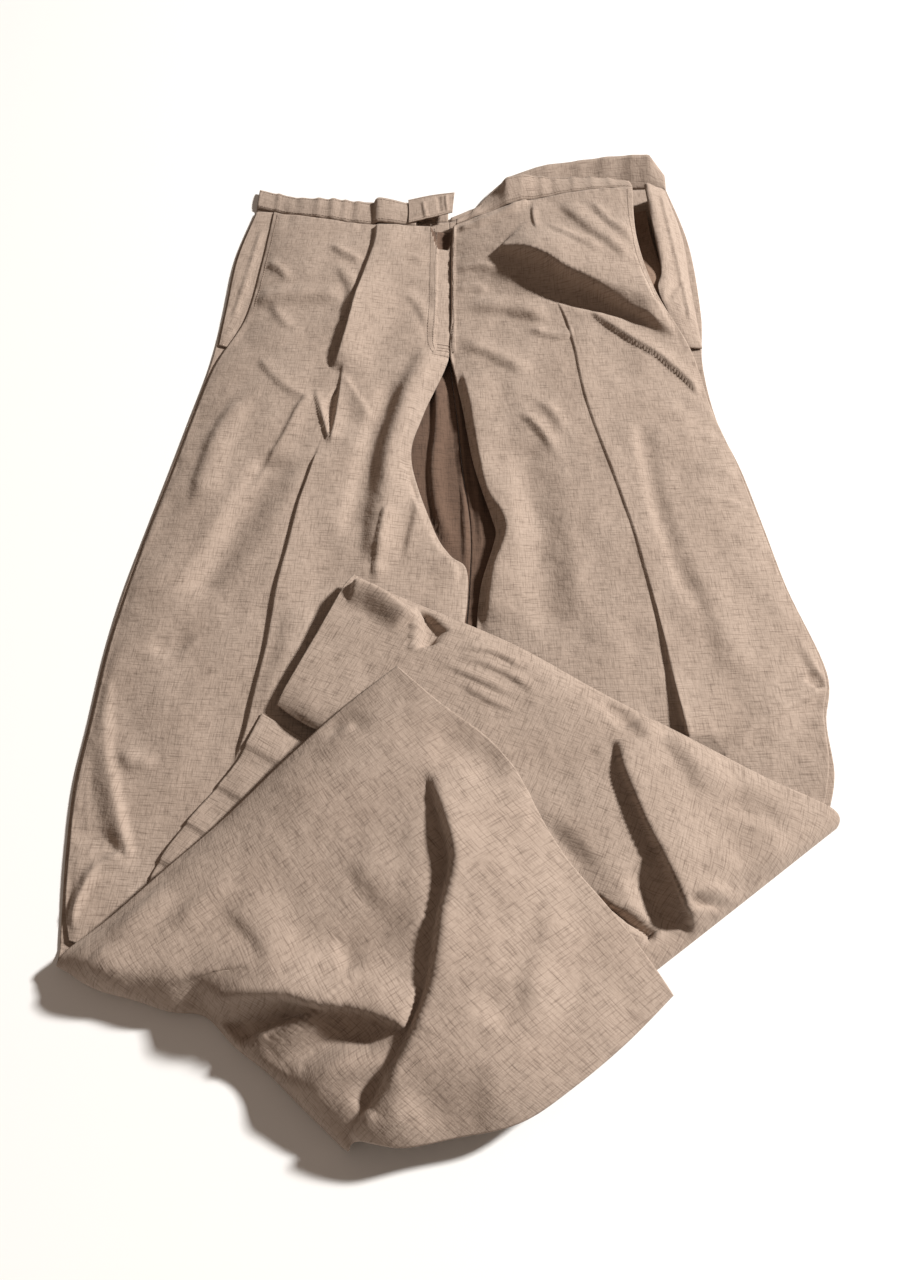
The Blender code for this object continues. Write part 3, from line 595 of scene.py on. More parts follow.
# Back of the left leg: flat below, round the fold, then outside across to the left
backLeft = {
    "columns": 110, "density": 8, "power": 6, "lowest": 1.5,
    "held": (4, 8), "slack": (11, 1.3, 40), "weaveTurn": 66,
    "sections": [
        (1, (-10.85, 366, 1.5), (99, 408, 1.5), (205, 419, 1.5)),
        (1, (-9.85, 311, 1.5), (104, 331, 1.5), (217, 331, 1.5)),
        (1, (-9.85, 232, 1.5), (108, 243, 1.5), (216, 229, 1.5)),
        (1, (-9.85, 167, 1.5), (112, 167, 1.5), (209, 163, 1.5)),
        (1, (-3.85, 96, 1.5), (115, 96, 1.5), (212, 96, 1.5)),
        (1, (0.15, 40, 1.5), (127, 40, 1.5), (224, 40, 1.5)),
        (1, (6.15, -23, 1.5), (137, -23, 1.5), (233, -23, 1.5)),
        (1, (4.6, -81, 1.5), (136, -81, 1.5), (241, -81, 1.5)),
        (1, (0.6, -134, 1.5), (138, -140, 1.5), (256, -153, 1.5)),
        (1, (-3.4, -200, 1.5), (135, -200, 1.5), (248, -194, 1.5)),
        (1, (-9.4, -260, 1.5), (128, -252, 1.5), (246, -232, 1.5)),
        (2, (8, -314, 1.5), (109, -308, 1.5), (238, -258, 1.5)),
        (3, (30, -411, 1.5), (112, -346, 1.5), (232, -269, 1.5)),
        (3, (30, -424, 7), (127, -355, 10), (236, -275, 9)),
        (3, (36, -407, 12), (120, -341, 21), (234, -265, 14)),
        (4, (58, -369, 17), (128, -306, 25), (194, -244, 16)),
        (4, (62, -328, 19), (106, -279, 27), (149, -216, 17)),
        (4, (37, -295, 20), (61, -240, 27), (91, -180, 18)),
        (4, (3, -251, 20), (17, -202, 26), (32, -141, 19)),
        (3, (-92, -212, 18), (-74, -165, 24), (-47, -101, 20)),
        (0, (-126, -190, 18), (-107, -146, 24), (-80, -82, 21)),
    ],
    "foldTop": 14, "hemTop": 19,
    "folds": [
        fold(13, 6, 48, [(620, 738, 0.2), (622, 748, 0.4), (625, 766, 0.6), (636, 794, 0.68), (648, 822, 0.7),
                         (661, 846, 0.74), (673, 872, 0.84), (683, 897), (693, 919), (695, 948)],
             crisp=0.2, fade=3, lean=6),
        fold(-6, 16, 20, [(634, 860), (655, 905), (678, 938)]),
        fold(10, 20, 8, [(350, 580), (372, 586), (398, 603), (412, 614, 0.8)], crisp=0.2, fade=5),
        hollow(7, 6, [(416, 608), (414, 654), (438, 647), (450, 631), (430, 612)]),
        fold(3, 1.6, 12, [(414, 600, 0.4), (414, 625), (413, 652)], crisp=0.5, fade=4),
        fold(3, 10, 14, [(640, 718, 0.4), (646, 728), (654, 744, 0.4)], fade=6),
        fold(-4, 10, 14, [(600, 700, 0.6), (618, 716), (634, 732)], fade=8),
        fold(4, 14, 26, [(664, 730), (694, 758), (712, 800)]),
        fold(2, 4, 9, [(457, 648), (500, 654), (526, 672)], crisp=0.4),
        fold(2, 4, 9, [(468, 658), (505, 672), (538, 694)], crisp=0.4),
        fold(1.8, 4, 8, [(443, 663), (487, 683), (517, 695)], crisp=0.4),
        fold(1.6, 4, 8, [(455, 680), (490, 700), (520, 712)], crisp=0.4),
        fold(4, 14, 22, [(700, 862), (740, 866), (800, 842)]),
        fold(-3, 12, 18, [(716, 800), (752, 812), (790, 824)]),
        hollow(5, 3, [(694, 894), (692, 906), (699, 912), (712, 910), (736, 909), (734, 902), (706, 897)]),
        hollow(7, 4, [(589, 886), (612, 902), (640, 916), (660, 930), (652, 946), (624, 925), (604, 908)]),
        fold(3, 3, 8, [(706, 895, 0.5), (720, 893), (742, 898, 0.5)], crisp=0.3, fade=4),
        fold(-3, 10, 12, [(540, 820), (570, 850), (596, 880)]),
    ],
}
print("stage: back of the left leg")
leftGrid, legBackLeft = foldedLeg("legBackLeft", "back_leg_left", backLeft, seamColumn=0)

# Front of the right leg
frontRightCrease = [(318, 446, 0.7), (305, 483), (299, 500), (288, 543), (277, 584), (267, 640), (256, 684),
                    (245, 730), (233, 764, 0.7)]
frontRight = {
    "columns": 136, "density": 7, "power": 4, "lowest": 2.9,
    "crease": frontRightCrease, "creaseHeight": 3.0, "held": (8, 3), "slack": (21, 2.0, 42), "weaveTurn": -3,
    "puckers": [("top", 2.2, 16, 9, 51), ("left", 1.4, 12, 14, 52), ("right", 1.6, 9, 7, 53)],
    "waistDip": 0.8,
    "sections": [
        (3, (-182, 379, 4.7), (-106, 354, 11), (-8, 348, 8)),
        (3, (-186, 300, 4.7), (-100, 288, 14), (-10, 295, 9)),
        (3, (-193, 222, 4.7), (-103, 215, 14), (-10, 224, 9)),
        (3, (-213, 161, 4.0), (-108, 152, 14), (-11, 165, 8)),
        (3, (-223.5, 100, 3.3), (-117, 92, 14), (-32, 97, 7)),
        (3, (-232, 38, 3.3), (-129, 31, 13), (-41, 46, 7)),
        (2, (-241.5, -25, 3.3), (-131, -30, 13), (-23, -24, 6)),
        (1, (-245, -53, 3.3), (-130, -58, 13), (-10, -51, 6)),
        (2, (-246.5, -65, 3.3), (-129, -70, 13), (2, -63, 5.5)),
        (2, (-250, -96, 3.3), (-127, -100, 13), (3, -92, 5)),
        (3, (-253.5, -136, 3.3), (-125, -148, 11), (-2, -137, 4.5)),
        (2, (-254.5, -189, 3.3), (-127, -205, 9), (-6, -202, 4.5)),
        (2, (-255.5, -243, 3.3), (-132, -263, 7), (-14, -261, 4.5)),
        (2, (-251.5, -289, 3.3), (-140, -309, 5), (-28, -315, 4.5)),
        (2, (-246.5, -325, 3.3), (-148, -353, 5), (-44, -377, 4.5)),
        (0, (-240, -347, 4), (-151, -388, 5), (-70, -438, 4.5)),
    ],
    "folds": [
        fold(10, 3, 40, [(377, 222, 0.4), (375, 240, 0.45), (365, 268, 0.55), (354, 300, 0.8), (345, 330),
                         (338, 352, 0.8), (332, 368, 0.1)], crisp=0.3, fade=4),
        fold(2.5, 8, 12, [(338, 262), (352, 290), (344, 318)]),
        fold(3, 4, 10, [(330, 243), (345, 252), (361, 259)], crisp=0.4, fade=8),
        fold(2.5, 4, 9, [(267, 261), (278, 267), (288, 277)], crisp=0.4, fade=8),
        fold(4, 14, 22, [(249, 298), (300, 293), (346, 293)]),
        fold(2.2, 3, 14, [(258, 358), (282, 384), (312, 400)], crisp=0.6, fade=8),
        fold(3, 5, 20, [(316, 392, 0.4), (300, 402), (280, 440), (240, 500, 0.4)], crisp=0.4),
        fold(3, 2, 10, [(314, 388, 0.5), (321, 412), (329, 440)], crisp=0.6, fade=6),
        hollow(3.2, 3, [(322, 404), (330, 441), (336, 404), (340, 384), (330, 392)]),
        fold(2.8, 2.5, 12, [(343, 366, 0.5), (338, 400), (331, 440)], crisp=0.6, fade=6),
        fold(2.2, 3, 14, [(374, 417), (359, 396), (345, 376)], crisp=0.7, fade=8),
        fold(3.4, 1.7, 46, frontRightCrease, crisp=0.55),
        fold(7, 15, 22, [(431, 345, 0.3), (411, 385, 0.8), (393, 440), (382, 500), (374, 560, 0.8)]),
        fold(-3, 12, 14, [(392, 380), (372, 430), (356, 500), (350, 540)]),
        fold(3.4, 3.6, 10, [(386, 508), (380, 540), (374, 576)], crisp=0.3, fade=6),
        fold(2, 5, 9, [(412, 470), (420, 500), (404, 560)], crisp=0.2),
        fold(-6, 20, 28, [(277, 451), (240, 520), (192, 597)]),
        fold(4, 12, 20, [(240, 395), (214, 440), (196, 500)]),
        fold(2.5, 14, 24, [(300, 600), (285, 660), (262, 720)]),
        fold(-3, 10, 13, [(147, 640), (170, 648), (193, 630)]),
        fold(4, 6, 11, [(116, 748), (133, 762), (158, 760)], crisp=0.3),
        fold(5, 16, 6, [(108, 677, 0.2), (105, 743, 0.6), (112, 786, 0.9), (120, 826), (127, 856)],
             crisp=0.2, fade=5),
        fold(-4, 4, 14, [(68, 838, 0.7), (89, 841), (108, 847), (127, 857)], crisp=0.4, fade=5),
        fold(4, 9, 5, [(127, 858, 0.5), (96, 868), (78, 898), (66, 930, 0.6)], crisp=0.4, fade=6),
        fold(0.8, 1.2, 1.2, [(94, 731), (86, 777), (89, 838), (91, 862)], crisp=1, fade=4),
        hollow(6, 2, [(122, 914), (131, 896), (143, 880), (162, 880), (150, 893)]),
        fold(2, 4, 8, [(270, 300), (283, 320), (300, 330)], crisp=0.3),
        fold(2.2, 5, 10, [(385, 262), (405, 255), (430, 262)], crisp=0.3),
        fold(2, 6, 12, [(398, 290), (416, 300), (430, 330)]),
        fold(1.6, 8, 1.6, [(437, 228), (436, 270), (435, 320), (433, 350)], crisp=0.3, fade=4),
        foldAt(4.5, 4, 30, [(-6, -86, 0.4), (-7, -64), (-18, -50), (-33, -16), (-48, 30), (-49, 50),
                            (-40, 96), (-27, 150, 0.5)], crisp=0.3),
        fold(-0.7, 1.6, 1.6, [(437, 534), (431, 560), (423, 594)], crisp=1, fade=4),
        hollow(6, 2.0, [(431, 218), (431, 229), (437, 249), (449, 250), (454, 226), (453, 213)]),
    ],
}
print("stage: front of the right leg")
frontRightGrid, legFrontRight = frontLeg("legFrontRight", "front_leg_right", frontRight)
# the fly's opening under the tab gets painted shade
flyOpening = {"highest": 30.0,
              "pixels": [(430, 217), (430, 229), (437, 250), (450, 251), (455, 226), (454, 212)]}
openingPlaces = onGrid(frontRightGrid, [(*p, 0) for p in flyOpening["pixels"]], 0.0)
paintShadeInOpening(legFrontRight, [p[:2] for p in openingPlaces], flyOpening["highest"])

# Front of the left leg
frontLeftCrease = [(557, 300, 0.5), (566, 318), (575, 345), (585, 393), (604, 445), (618, 482), (632, 522),
                   (644, 562), (655, 600, 1.3), (665, 640, 2.0), (675, 680, 3.4), (690, 742, 6.0)]
frontLeft = {
    "columns": 136, "density": 7, "power": 4, "lowest": 2.9,
    "crease": frontLeftCrease, "creaseHeight": 2.0, "held": (1.5, 8), "slack": (31, 2.0, 42), "weaveTurn": 2,
    "puckers": [("top", 2.2, 14, 9, 54), ("left", 1.8, 14, 8, 55), ("right", 1.6, 16, 12, 56)],
    "waistDip": 0.8,
    "sections": [
        (3, (-8, 345, 10.5), (72, 376, 21), (165, 385, 28)),
        (3, (-9.4, 295, 11), (89, 286, 31), (160, 299, 34)),
        (3, (-9.4, 224, 11), (96, 222, 17), (171, 230, 28)),
        (3, (-9, 165, 10), (98, 165, 13), (199, 176, 8)),
        (3, (1, 100, 7), (102, 101, 12), (208.5, 110, 3.3)),
        (2, (9, 40, 7), (113, 39, 12), (220, 50, 3.3)),
        (1, (22, -14, 6.4), (128, -14, 12), (228, -4, 3.3)),
        (1, (25, -29, 6), (131, -30, 12), (230.5, -21, 3.3)),
        (2, (22, -45, 5.8), (131, -48, 12), (233, -40, 3.3)),
        (3, (12.5, -83, 5), (133, -88, 12), (238.5, -79, 3.3)),
        (3, (9, -137, 4.5), (139, -145, 11), (253.5, -152, 3.4)),
        (2, (9, -194, 4.5), (138, -201, 9), (246, -190, 5)),
        (2, (9, -254, 4.5), (127, -254, 5), (243, -225, 4.5)),
        (2, (10, -309, 4.5), (114, -300, 5), (234, -256, 4.5)),
        (0, (18, -392, 4.5), (92, -346, 5), (226, -270, 4.5)),
    ],
    "folds": [
        fold(17, 6, 60, [(497, 245, 0.35), (524, 247, 0.85), (549, 257), (562, 266), (580, 274, 0.9),
                         (613, 290, 0.75), (649, 311, 0.5), (664, 323, 0.28), (678, 334, 0.05)],
             crisp=0.2, fade=4, lean=5),
        fold(-6, 14, 14, [(512, 268, 0.7), (540, 284), (575, 298), (620, 308), (655, 318, 0.3)]),
        fold(1.8, 2.5, 8, [(533, 205), (533, 216), (536, 230)], crisp=0.5, fade=6),
        fold(3, 8, 18, [(560, 200), (590, 226), (632, 262)]),
        fold(2.6, 6, 13, [(545, 222), (575, 240), (606, 256)], crisp=0.3),
        fold(2.4, 6, 12, [(590, 200), (612, 222), (634, 240)], crisp=0.3),
        fold(1.5, 1.6, 46, frontLeftCrease, crisp=0.6, fade=6),
        fold(4, 3, 18, [(590, 311, 0.6), (625, 332), (655, 350), (686, 376), (700, 394, 0.5)],
             crisp=0.5, fade=8),
        fold(3, 4, 13, [(530, 329), (556, 334), (576, 331)], crisp=0.4, fade=8),
        fold(4, 8, 20, [(462, 306), (500, 306), (550, 317)]),
        fold(2.6, 5, 10, [(456, 270), (476, 264), (498, 268)], crisp=0.2, fade=8),
        fold(2.2, 5, 10, [(456, 290), (472, 286), (488, 292)], crisp=0.2, fade=8),
        fold(3, 9, 16, [(462, 340), (490, 350), (530, 372)]),
        fold(2, 3, 7, [(654, 398), (676, 396), (698, 396)], crisp=0.5, fade=8),
        fold(2, 4, 8, [(676, 440), (700, 434), (722, 437)], crisp=0.3),
        fold(2, 4, 8, [(690, 467), (716, 468), (740, 478)], crisp=0.3),
        fold(2, 4, 8, [(696, 500), (724, 500), (752, 510)], crisp=0.3),
        fold(3.5, 6, 12, [(519, 408), (540, 428), (557, 450)], crisp=0.4),
        fold(2.5, 6, 12, [(536, 398), (552, 412), (566, 430)]),
        fold(-4, 22, 28, [(528, 440), (540, 530), (550, 632)]),
        fold(3, 20, 3, [(832, 683), (790, 706), (752, 732), (722, 760)], crisp=0.5, fade=6),
        fold(3, 8, 10, [(800, 640, 0.3), (818, 664), (832, 677)], fade=5),
        hollow(5, 4, [(842, 680), (806, 668), (804, 680), (816, 690), (830, 690)]),
        foldAt(1.6, 2, 3, [(-6.5, 345), (-7.6, 295), (-7.6, 224), (-7, 168)], crisp=0.8, fade=6),
        foldAt(6, 30, 4, [(16, -117), (22, -70), (30, -44), (33, -29), (29, -12), (19, 10), (12, 56),
                          (6, 109), (0, 148, 0.4)], crisp=0.3),
        fold(4, 5, 9, [(457, 228), (480, 220), (503, 211), (530, 197)], crisp=0.2, fade=8),
        fold(-2.5, 10, 14, [(640, 420), (655, 500), (690, 600)]),
        fold(2.4, 14, 22, [(700, 560), (720, 620), (736, 680)]),
    ],
}
print("stage: front of the left leg")
frontLeftGrid, legFrontLeft = frontLeg("legFrontLeft", "front_leg_left", frontLeft)

# Pieces between the pocket edges and the side seams
sides = {
    "columns": 24, "density": 8, "power": 4, "lowest": 3.3, "held": (3, 3), "slack": (41, 0.9, 22),
    "pieces": {
        "sideRight": {
            "nodes": ["side_piece_right"], "linen": pocketLinen,
            "sections": [
                (3, (-199, 380, 3.3), (-184, 379, 3.3), (-170, 377, 3.3)),
                (3, (-210, 308, 3.3), (-191, 306, 3.3), (-172, 303, 3.3)),
                (3, (-212, 237, 3.3), (-196, 231, 3.3), (-180, 224, 3.3)),
                (0, (-213, 187, 3.3), (-208, 185, 3.3), (-203, 184, 3.3)),
            ],
            "folds": [fold(1.6, 4, 6, [(262, 226), (247, 275), (232, 320)], crisp=0.2)],
        },
        "sideLeft": {
            "nodes": ["side_piece_left"], "linen": pocketLinen,
            "sections": [
                (3, (178, 396, 22), (190, 398, 19), (204, 410, 3.3)),
                (3, (179, 325, 24), (195, 328, 20), (212, 338, 3.3)),
                (2, (181, 268, 21), (194, 266, 17), (211, 270, 3.3)),
                (2, (176, 236, 20), (195, 232, 15), (211, 236, 3.3)),
                (0, (197, 182, 5), (204, 182, 5), (211, 183, 3.3)),
            ],
            "folds": [fold(2.4, 2.5, 7, [(661, 195), (671, 235), (681, 277), (690, 318)], crisp=0.3, fade=6),
                      fold(-2, 5, 6, [(668, 300), (676, 284), (690, 280)], fade=4)],
        },
        # the facing uses the linen with painted shade
        "pocketFacing": {
            "nodes": [], "linen": facingShadeLinen,
            "sections": [
                (3, (158, 376, 4), (170, 377, 5), (180, 378, 7)),
                (3, (154, 317, 8), (168, 319, 9), (180, 322, 12)),
                (3, (156, 262, 15), (170, 262, 17), (184, 262, 18)),
                (0, (166, 226, 16), (176, 226, 17), (186, 228, 15)),
            ],
            "folds": [],
        },
    },
}
print("stage: side pieces")
for name, side in sides["pieces"].items():
    grid = clothGrid({**sides, **side})
    loose = slack(grid, *sides["slack"]) * pinned(grid, *sides["held"])
    layFolds(grid, side["folds"], loose, np.ones(grid.shape[:2]))
    grid[..., 2] = np.maximum(grid[..., 2], sides["lowest"])
    makePiece(name, grid, side["linen"], side["nodes"])

# Waistband: each part rises from its panel, by share across, outwards and up.
# Waves are a share across, a height, and a spread to the left and to the right of it.
bands = {
    "height": 35.0, "rows": 10, "columns": 90, "puff": 1.2, "puffPower": 0.6, "seamGap": 0.15, "lowest": 1.5,
    "slopePastEdge": -70,
    "parts": {
        "bandFrontRight": {
            "node": "waistband_front_right", "panel": frontRightGrid,
            "rises": [(-0.10, 29, 0), (0.2, 28, 0.5), (0.42, 32, 1), (0.6, 33, 1), (0.8, 31, 1)],
            "waves": [(0.02, 1.4, 0.02, 0.04), (0.12, -1.0, 0.02, 0.03), (0.25, 1.6, 0.02, 0.03),
                      (0.33, 1.8, 0.015, 0.03), (0.4, 1.4, 0.012, 0.03), (0.47, 1.2, 0.015, 0.03),
                      (0.575, 5.5, 0.008, 0.14)],
        },
        "bandFrontLeft": {
            "node": "waistband_front_left", "panel": frontLeftGrid,
            "rises": [(0.02, 7, 1), (0.1, 9, 0), (0.16, 16, -1), (0.22, 27, 1), (0.3, 29, 8), (0.4, 29, 8),
                      (0.47, 29.7, 4.5), (0.6, 29.8, -3), (0.86, 29, -8), (1.0, 27.5, -12)],
            "waves": [(0.12, 1.4, 0.02, 0.04), (0.3, 3.5, 0.03, 0.07), (0.42, 1.2, 0.012, 0.03),
                      (0.5, 1.4, 0.012, 0.03), (0.58, 1.1, 0.012, 0.03), (0.68, 1.4, 0.015, 0.03),
                      (0.78, 1.0, 0.012, 0.03), (0.88, 1.2, 0.015, 0.03)],
        },
        "bandBackRight": {
            "node": "waistband_back_right", "panel": rightGrid,
            "rises": [(0.0, 31, 0), (0.5, 33, 0), (0.995, 34, 0)],
            "waves": [],
        },
        "bandBackLeft": {
            "node": "waistband_back_left", "panel": leftGrid,
            "rises": [(0.005, 6, 0), (0.12, 9, 1), (0.2, 22, 7), (0.27, 30, 12), (0.4, 31, 16), (0.6, 31, 16),
                      (0.8, 29, 19), (0.92, 27, 21), (1.0, 18, 4)],
            "waves": [(0.45, 1.4, 0.03, 0.05), (0.6, 1.2, 0.02, 0.04), (0.72, 1.6, 0.03, 0.04),
                      (0.84, 1.2, 0.02, 0.03)],
        },
    },
}


def bandFeet(edge, stations):         # where a band is sewn on, also a little past the panel's own edge
    width = edge[:, 0]
    panelShare = (width - width[0]) / (width[-1] - width[0])
    feet = np.stack([np.interp(stations, panelShare, edge[:, k]) for k in range(3)], axis=1)
    past = stations < 0
    feet[past, 0] = width[0] + stations[past] * (width[-1] - width[0])
    feet[past, 1] += stations[past] * bands["slopePastEdge"]
    feet[:, 1] += bands["seamGap"]
    feet[:, 2] = np.maximum(feet[:, 2], bands["lowest"])
    return feet


def bandGrid(part):
    shares, outs, ups = (np.array(values, float) for values in zip(*part["rises"]))
    stations = np.linspace(shares[0], shares[-1], bands["columns"] + 1)
    feet = bandFeet(part["panel"][0], stations)
    out, up = np.interp(stations, shares, outs), np.interp(stations, shares, ups)
    reach = np.minimum(bands["height"] / np.hypot(out, up), 1.0)
    rise = np.stack([np.zeros_like(out), out, up], axis=1) * reach[:, None]
    face = np.stack([np.zeros_like(out), -up, out], axis=1) / np.hypot(out, up)[:, None]
    grid = []
    for t in np.arange(bands["rows"], -1, -1) / bands["rows"]:
        puff = bands["puff"] * math.sin(math.pi * t) ** bands["puffPower"] if 0 < t < 1 else 0.0
        line = feet + rise * t
        for place, height, before, after in part["waves"]:
            spread = np.where(stations < place, before, after)
            puffed = height * np.exp(-((stations - place) / spread) ** 2) * (0.5 + 0.5 * t)
            line = line + face * puffed[:, None]
        grid.append(line + face * puff)
    return np.array(grid)


print("stage: waistband")
bandPieces, bandGrids = [], []
for name, part in bands["parts"].items():
    bandGrids.append(bandGrid(part))
    bandPieces.append(makePiece(name, bandGrids[-1], bandLinen, [part["node"]]))

# Tab that closes the waist
tab = {
    "columns": 24, "density": 8, "power": 4, "lowest": 3.3,
    "sections": [
        (3, (-50, 349, 13.4), (-50, 366, 14.2), (-51, 383, 14.4)),
        (3, (-29, 356, 14), (-28, 373, 15), (-28, 390, 15)),
        (0, (-8, 366, 13), (-7, 381, 14), (-6, 396, 14)),
    ],
    "folds": [fold(1.2, 2, 4, [(413, 214), (432, 210), (453, 204)], crisp=0.2, fade=4),
              fold(1.4, 2.5, 4, [(423, 200), (424, 209), (426, 217)], fade=3),
              fold(-1.2, 3, 4, [(438, 196), (439, 204), (440, 212)], fade=3),
              fold(1.2, 2, 3, [(446, 194), (446, 202), (447, 210)], fade=3)],
}
print("stage: tab, fly and hems")
tabGrid = clothGrid(tab)
layFolds(tabGrid, tab["folds"], 0.0, np.ones(tabGrid.shape[:2]))
tabPiece = makePiece("waistTab", tabGrid, bandLinen, ["waistband_tab"])

# Fly placket, and the hems: strips that lie on their panels
fly = {"firstRow": 13, "lastRow": rowOf(frontRight, 3), "width": 15.0, "columns": 14, "wall": 0.7,
       "lift": 0.55, "liftSteepness": 6, "seamTuck": 0.25, "ripple": 0.5, "rippleLength": 5, "rippleSeed": 61}
places = np.linspace(1, 0, fly["columns"] + 1)
lift = fly["lift"] * np.clip((1 - places) * fly["liftSteepness"], 0, 1)
lift[0] -= fly["seamTuck"]
flyRows = []
for panelRow in frontRightGrid[fly["firstRow"]:fly["lastRow"] + 1, ::-1]:
    inward = panelRow[0, 0] - panelRow[:, 0]
    spots = np.stack([np.interp(places * fly["width"], inward, panelRow[:, k]) for k in range(3)], axis=1)
    ripple = noise.noise(Vector((0, spots[0, 1] / fly["rippleLength"], fly["rippleSeed"])))
    spots[:, 2] += lift + fly["ripple"] * ripple * np.sin(np.pi * places)
    flyRows.append(spots)
flyPiece = makePiece("flyPlacket", np.array(flyRows), pocketLinen, ["fly_placket"],
                     fly["wall"])

hems = {"lift": 0.6, "wall": 0.5, "taper": [-0.35, 0.2, 0.8], "stitchRow": 3}
hemPieces, hemStitchRows = [], []
for name, node, piece, grid in (("hemRight", "hem_leg_right", backRight, rightGrid),
                                ("hemLeft", "hem_leg_left", backLeft, leftGrid)):
    first = rowOf(piece, piece["hemTop"])
    lift = np.full(len(grid) - first, hems["lift"])
    lift[:len(hems["taper"])] *= hems["taper"]
    lifted = grid[first:] - sheetNormals(grid)[first:] * lift[:, None, None]
    hemPieces.append(makePiece(name, lifted, hemLinen, [node], hems["wall"]))
    hemStitchRows.append(lifted[hems["stitchRow"]])

# Under layer of the left hem, which lies in small pleats on the front legs
underHem = {
    "columns": 20, "density": 10, "power": 4, "lowest": 0.0, "pleats": 5, "pleatHeight": 1.4,
    "steepShare": 0.15, "foot": 1.5,
    "sections": [
        (4, (-137, -194, 0), (-121, -203, 0), (-105, -213, 0)),
        (4, (-150, -228, 0), (-133, -238, 0), (-117, -247, 0)),
        (4, (-172, -262, 0), (-155, -272, 0), (-138, -282, 0)),
        (4, (-190, -292, 0), (-174, -301, 0), (-158, -310, 0)),
        (0, (-203, -328, 0), (-190, -335, 0), (-178, -342, 0)),
    ],
}


def surfaceOf(pieces):                # a search tree over finished pieces, modifiers included
    corners, faces = [], []
    graph = bpy.context.evaluated_depsgraph_get()
    for piece in pieces:
        shown = piece.evaluated_get(graph)
        mesh = shown.to_mesh()
        first = len(corners)
        corners += [v.co.copy() for v in mesh.vertices]
        faces += [[first + i for i in face.vertices] for face in mesh.polygons]
        shown.to_mesh_clear()
    return BVHTree.FromPolygons(corners, faces)


def restHeight(tree, x, y):           # in the tables' millimetres, looking down from half a metre up
    spot = placed((x, y, 0))
    hit = tree.ray_cast(Vector((spot[0], spot[1], 0.5)), Vector((0, 0, -1)))
    return hit[0].z * 1000 if hit[0] else 0.0


fronts = surfaceOf([legFrontRight, legFrontLeft])
hemGrid = clothGrid(underHem)
count, steep = len(hemGrid) - 1, underHem["steepShare"]
for i, row in enumerate(hemGrid):
    wave = (i * underHem["pleats"] / count) % 1.0
    soft = 0.5 - 0.5 * math.cos(math.pi * min(wave / (1 - steep), (1 - wave) / steep))
    for point in row:
        point[2] = restHeight(fronts, *point[:2]) + underHem["foot"] + underHem["pleatHeight"] * soft
underPiece = makePiece("hemUnderLayer", hemGrid, hemLinen, ["under_hem_leg_left"])

# Hidden layers inside the folded legs: a coarse copy sunk into each fold, which shows only at its edges, in a
# darker linen that paints the shade between the layers
hidden = {
    "stride": 4, "lowest": 5.0,
    "right": {"sections": (16, 19), "columns": (40, 82), "drop": 12},
    "left": {"sections": (15, 18), "columns": (20, 84), "drop": 8},
}
print("stage: hidden layers")


def layered(name, node, piece, grid, leaf):
    rows = slice(*(rowOf(piece, section) for section in leaf["sections"]), hidden["stride"])
    inner = grid[rows, slice(*leaf["columns"], hidden["stride"])].copy()
    inner[..., 2] = np.maximum(inner[..., 2] - leaf["drop"], hidden["lowest"])
    return makePiece(name, inner, hiddenShadeLinen, [node])


hiddenRight = layered("hiddenLayersRight", "hidden_layers_right_leg", backRight, rightGrid, hidden["right"])
hiddenLeft = layered("hiddenLayersLeft", "hidden_layers_left_leg", backLeft, leftGrid, hidden["left"])

# Stitching: short threads along lines on the finished grids
stitching = {
    "pitch": 3.2, "length": 2.3, "width": 0.5, "height": 0.34, "first": 0.6, "step": 1.5,
    "lift": 0.15, "hemLift": 0.2, "pocketInset": 5, "flyInset": 3, "bandRows": (1, -2), "tabColumns": (2, -3),
    "topRow": 2, "pocketSection": 2, "flyRow": 8, "flySection": 3, "rowsPastPocket": 6,
    "fly": [[(437, 226), (436, 290), (433, 342), (440, 353)],
            [(431, 226), (430, 290), (428, 340), (436, 356)]],
    "tacks": [((437, 345), (455, 346)), ((437, 348), (455, 349)), ((436, 351), (452, 353))],
    "tackLift": 0.9, "tackPitch": 2.4,
}
threadLinen = linen("sewing thread", 1.08)
print("stage: stitching")


# A line at a distance inside a piece's left or right edge
def insetLine(grid, first, last, inset, side):
    line = []
    for row in grid[first:last]:
        row = row if side == "left" else row[::-1]
        run = np.concatenate([[0], np.cumsum(np.linalg.norm(np.diff(row, axis=0), axis=1))])
        line.append([np.interp(inset, run, row[:, k]) for k in range(3)])
    return np.array(line)


def sew(name, lines, lift, pitch=stitching["pitch"]):
    length = stitching["length"]
    bm = bmesh.new()
    for line in lines:
        steps = np.linalg.norm(np.diff(line, axis=0), axis=1)
        run = np.concatenate([[0], np.cumsum(steps)])
        for s in np.arange(stitching["first"], run[-1] - length, pitch):
            a, b = (np.array([np.interp(v, run, line[:, k]) for k in range(3)]) for v in (s, s + length))
            middle, way = (a + b) / 2, Vector(b - a)
            middle[2] += lift
            turn = way.to_track_quat('X', 'Z').to_matrix().to_4x4()
            sizes = (way.length, stitching["width"], stitching["height"])
            size = Matrix.Diagonal((*(value * 0.001 for value in sizes), 1))
            bmesh.ops.create_cube(bm, size=1, matrix=Matrix.Translation(placed(middle)) @ turn @ size)
    mesh = bpy.data.meshes.new(name)
    bm.to_mesh(mesh)
    bm.free()
    mesh.uv_layers.new(name="weave")
    mesh.materials.append(threadLinen)
    piece = bpy.data.objects.new(name, mesh)
    bpy.context.scene.collection.objects.link(piece)
    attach(piece, "root")


